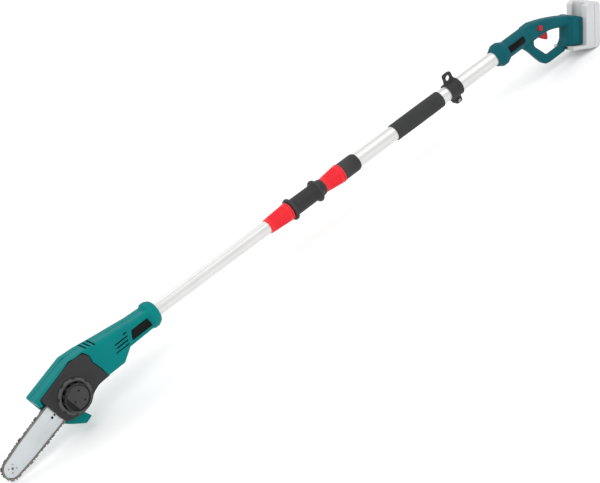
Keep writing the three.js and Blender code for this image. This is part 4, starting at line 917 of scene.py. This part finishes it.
# ------------------------------------------------------------------ handle and battery
@dataclass
class Handle:
    """D-handle, trigger, lock-off button and slide-on battery."""

    seat_angle: float = math.radians(25.1)  # the battery seat leans back
    seat_place: Point = (228, 26.0)  # middle of the seat from the low corner of the shell's box
    base_half_width: float = 24  # at the battery seat
    grooves: Point = (6.5, 11.5)  # distances in front of the seat

    def build(self) -> None:
        """Builds and dresses every piece of the handle and the battery."""
        for node, side in (("handle_shell_button_side", -1), ("handle_shell_far_side", 1)):
            shell = moulded(node, f"{node}_moulded", 1.0, 3)
            carved(shell, *(self.groove(back, side) for back in self.grooves))
            hand_in(shell, HANDLE_ABS, "handle_pole", node)
        hand_in(moulded("trigger", "trigger_moulded", 0.6), DARK_RED_PP, "trigger", "trigger")
        for i in (1, 2, 3, 4):
            screw(f"handle_screw_{i}", "handle_pole", False, 3.1, 1.5)
        plate = copied("handle_badge", "handle_badge_plate")
        soften(plate, 0.25, 1, 60)
        hand_in(plate, LABEL, "handle_pole", "handle_badge")
        self.button()
        for node in ("battery_case", "battery_back"):
            hand_in(moulded(node, f"{node}_moulded", 1.0, 3), PALE_PC, "battery", node)
        latch = copied("battery_latch_button", "battery_latch_button_rounded")
        soften(latch, 0.8, 3)
        hand_in(latch, NYLON, "latch", "battery_latch_button")

    def groove(self, back: float, side: int) -> bpy.types.Object:
        """A cutting tool for one shallow groove down the base, parallel to the battery seat.

        Args:
            back: distance in front of the seat in millimetres.
            side: -1 for the button side, 1 for the far side.

        Returns:
            The tool, a thin plate.
        """
        seat = box_mm("handle_shell_button_side")[0] + Vector((self.seat_place[0], 0, self.seat_place[1]))
        c, s = math.cos(self.seat_angle), math.sin(self.seat_angle)
        outline = [(seat.x - u * c + w * s, seat.z + u * s + w * c)
                   for u, w in ((back, -27), (back + 1.6, -27), (back + 1.6, 24), (back, 24))]
        wall = middle("battery_case").y / MM + side * self.base_half_width
        return cut_plate("groove_tool", outline, *sorted((wall - side * 1.3, wall + side * 6)))

    def button(self) -> None:
        """Turns the round lock-off button with a dished face."""
        low, high = box_mm("lock_off_button")
        centre, radius = middle("lock_off_button"), (high.x - low.x) / 2
        piece = turned("lock_off_button_dished", [
            (low.y + 0.5, 0), (low.y + 0.35, radius * 0.4), (low.y, radius * 0.72),
            (low.y + 0.3, radius * 0.92), (low.y + 1.1, radius), (high.y, radius), (high.y, 0),
        ], centre, Axis.Y, 48)
        hand_in(piece, DARK_RED_PP, "button", "lock_off_button")
        skin = low.y + 4.5  # the grip's surface, which the button stands out of
        well = turned("lock_off_button_well", [
            (skin - 0.6, radius + 0.5), (skin - 0.6, radius + 1.6), (skin - 0.1, radius + 2.2),
            (skin + 1.2, radius + 2.2), (skin + 1.2, radius + 0.5), (skin - 0.6, radius + 0.5),
        ], centre, Axis.Y, 48)
        hand_in(well, NYLON, "handle_pole")


def dress_inner_parts() -> None:
    """Gives every CAD node that stays its own material."""
    slots = {row["node"]: row["material_slot"] for row in frame["record"]["subparts"]}
    for name, node in frame["nodes"].items():
        if node.hide_render:
            continue
        node.data.materials.clear()
        node.data.materials.append(BY_SLOT[slots[name]].material())
        LOG.info("%s keeps its CAD shape", name)


# ------------------------------------------------------------------ studio
@dataclass(frozen=True)
class Light:
    """One square area light, aimed at the floor under the middle of the saw."""

    place: tuple[float, float, float]
    power: float
    size: float = 3.0


@dataclass
class Studio:
    """Pale floor, soft lights and the camera."""

    floor_size: float = 60
    sky: float = 0.85
    lights: tuple[Light, ...] = (Light((-1.5, -2.5, 3.5), 55), Light((2.5, -1.0, 3.0), 28),
                                 Light((0.0, 2.5, 3.0), 25))
    distance: float = 4.5
    lens: float = 132.3
    towards_head: float = 23.0
    above: float = 28.0
    pole_slope: float = 37.0
    drop: float = 0.079  # of the camera's aim below the pole, in metres
    aim_back: float = 0.03  # from the front lock nut's rear end towards the handle, in metres

    def build(self) -> None:
        """Builds the floor, the lights and the camera."""
        bpy.ops.object.select_all(action="DESELECT")
        bpy.ops.mesh.primitive_plane_add(size=self.floor_size, location=(0, 0, 0))
        floor = bpy.context.object
        floor.name = "floor"
        material = bpy.data.materials.new("studio_floor_paper")
        material.use_nodes = True
        shader = material.node_tree.nodes["Principled BSDF"]
        shader.inputs["Base Color"].default_value = (0.95, 0.95, 0.95, 1)
        shader.inputs["Roughness"].default_value = 0.9
        floor.data.materials.append(material)
        world = bpy.data.worlds.new("studio_sky")
        world.use_nodes = True
        background = world.node_tree.nodes["Background"]
        background.inputs["Color"].default_value = (1, 1, 1, 1)
        background.inputs["Strength"].default_value = self.sky
        bpy.context.scene.world = world
        bpy.context.scene.view_settings.view_transform = "Standard"
        for light in self.lights:
            bpy.ops.object.light_add(type="AREA", location=light.place)
            lamp = bpy.context.object
            lamp.data.size, lamp.data.energy = light.size, light.power
            lamp.rotation_euler = (-Vector(light.place)).to_track_quat("-Z", "Y").to_euler()
        self.camera()

    def camera(self) -> None:
        """Aims the camera down on the saw from the cover side, rolled to slope the pole."""
        a, b = math.radians(self.towards_head), math.radians(self.above)
        view = Vector((-math.sin(a), -math.cos(a) * math.cos(b), math.cos(a) * math.sin(b)))
        right = (-view).cross(Vector((0, 0, 1))).normalized()
        up = right.cross(-view)
        pole = Vector((1, 0, 0))
        roll = math.radians(self.pole_slope) - math.atan2(pole.dot(up), pole.dot(right))
        c, s = math.cos(roll), math.sin(roll)
        right, up = right * c - up * s, right * s + up * c
        tube = middle("outer_tube")
        origin = Vector((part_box("front_lock_nut")[1].x + self.aim_back, tube.y, tube.z))
        place = origin - up * self.drop + view * self.distance
        camera = bpy.data.objects.new("camera", bpy.data.cameras.new("camera"))
        bpy.context.scene.collection.objects.link(camera)
        camera.data.lens = self.lens
        camera.data.clip_end = 100
        camera.matrix_world = Matrix.Translation(place) @ Matrix((right, up, view)).transposed().to_4x4()
        bpy.context.scene.camera = camera


def main() -> None:
    """Builds the studio and every sub-assembly in order."""
    logging.basicConfig(level=logging.INFO, format="%(name)s: %(message)s")
    Studio().build()
    Pole().build()
    SawHead().build()
    Handle().build()
    dress_inner_parts()


if __name__ == "__main__":
    main()
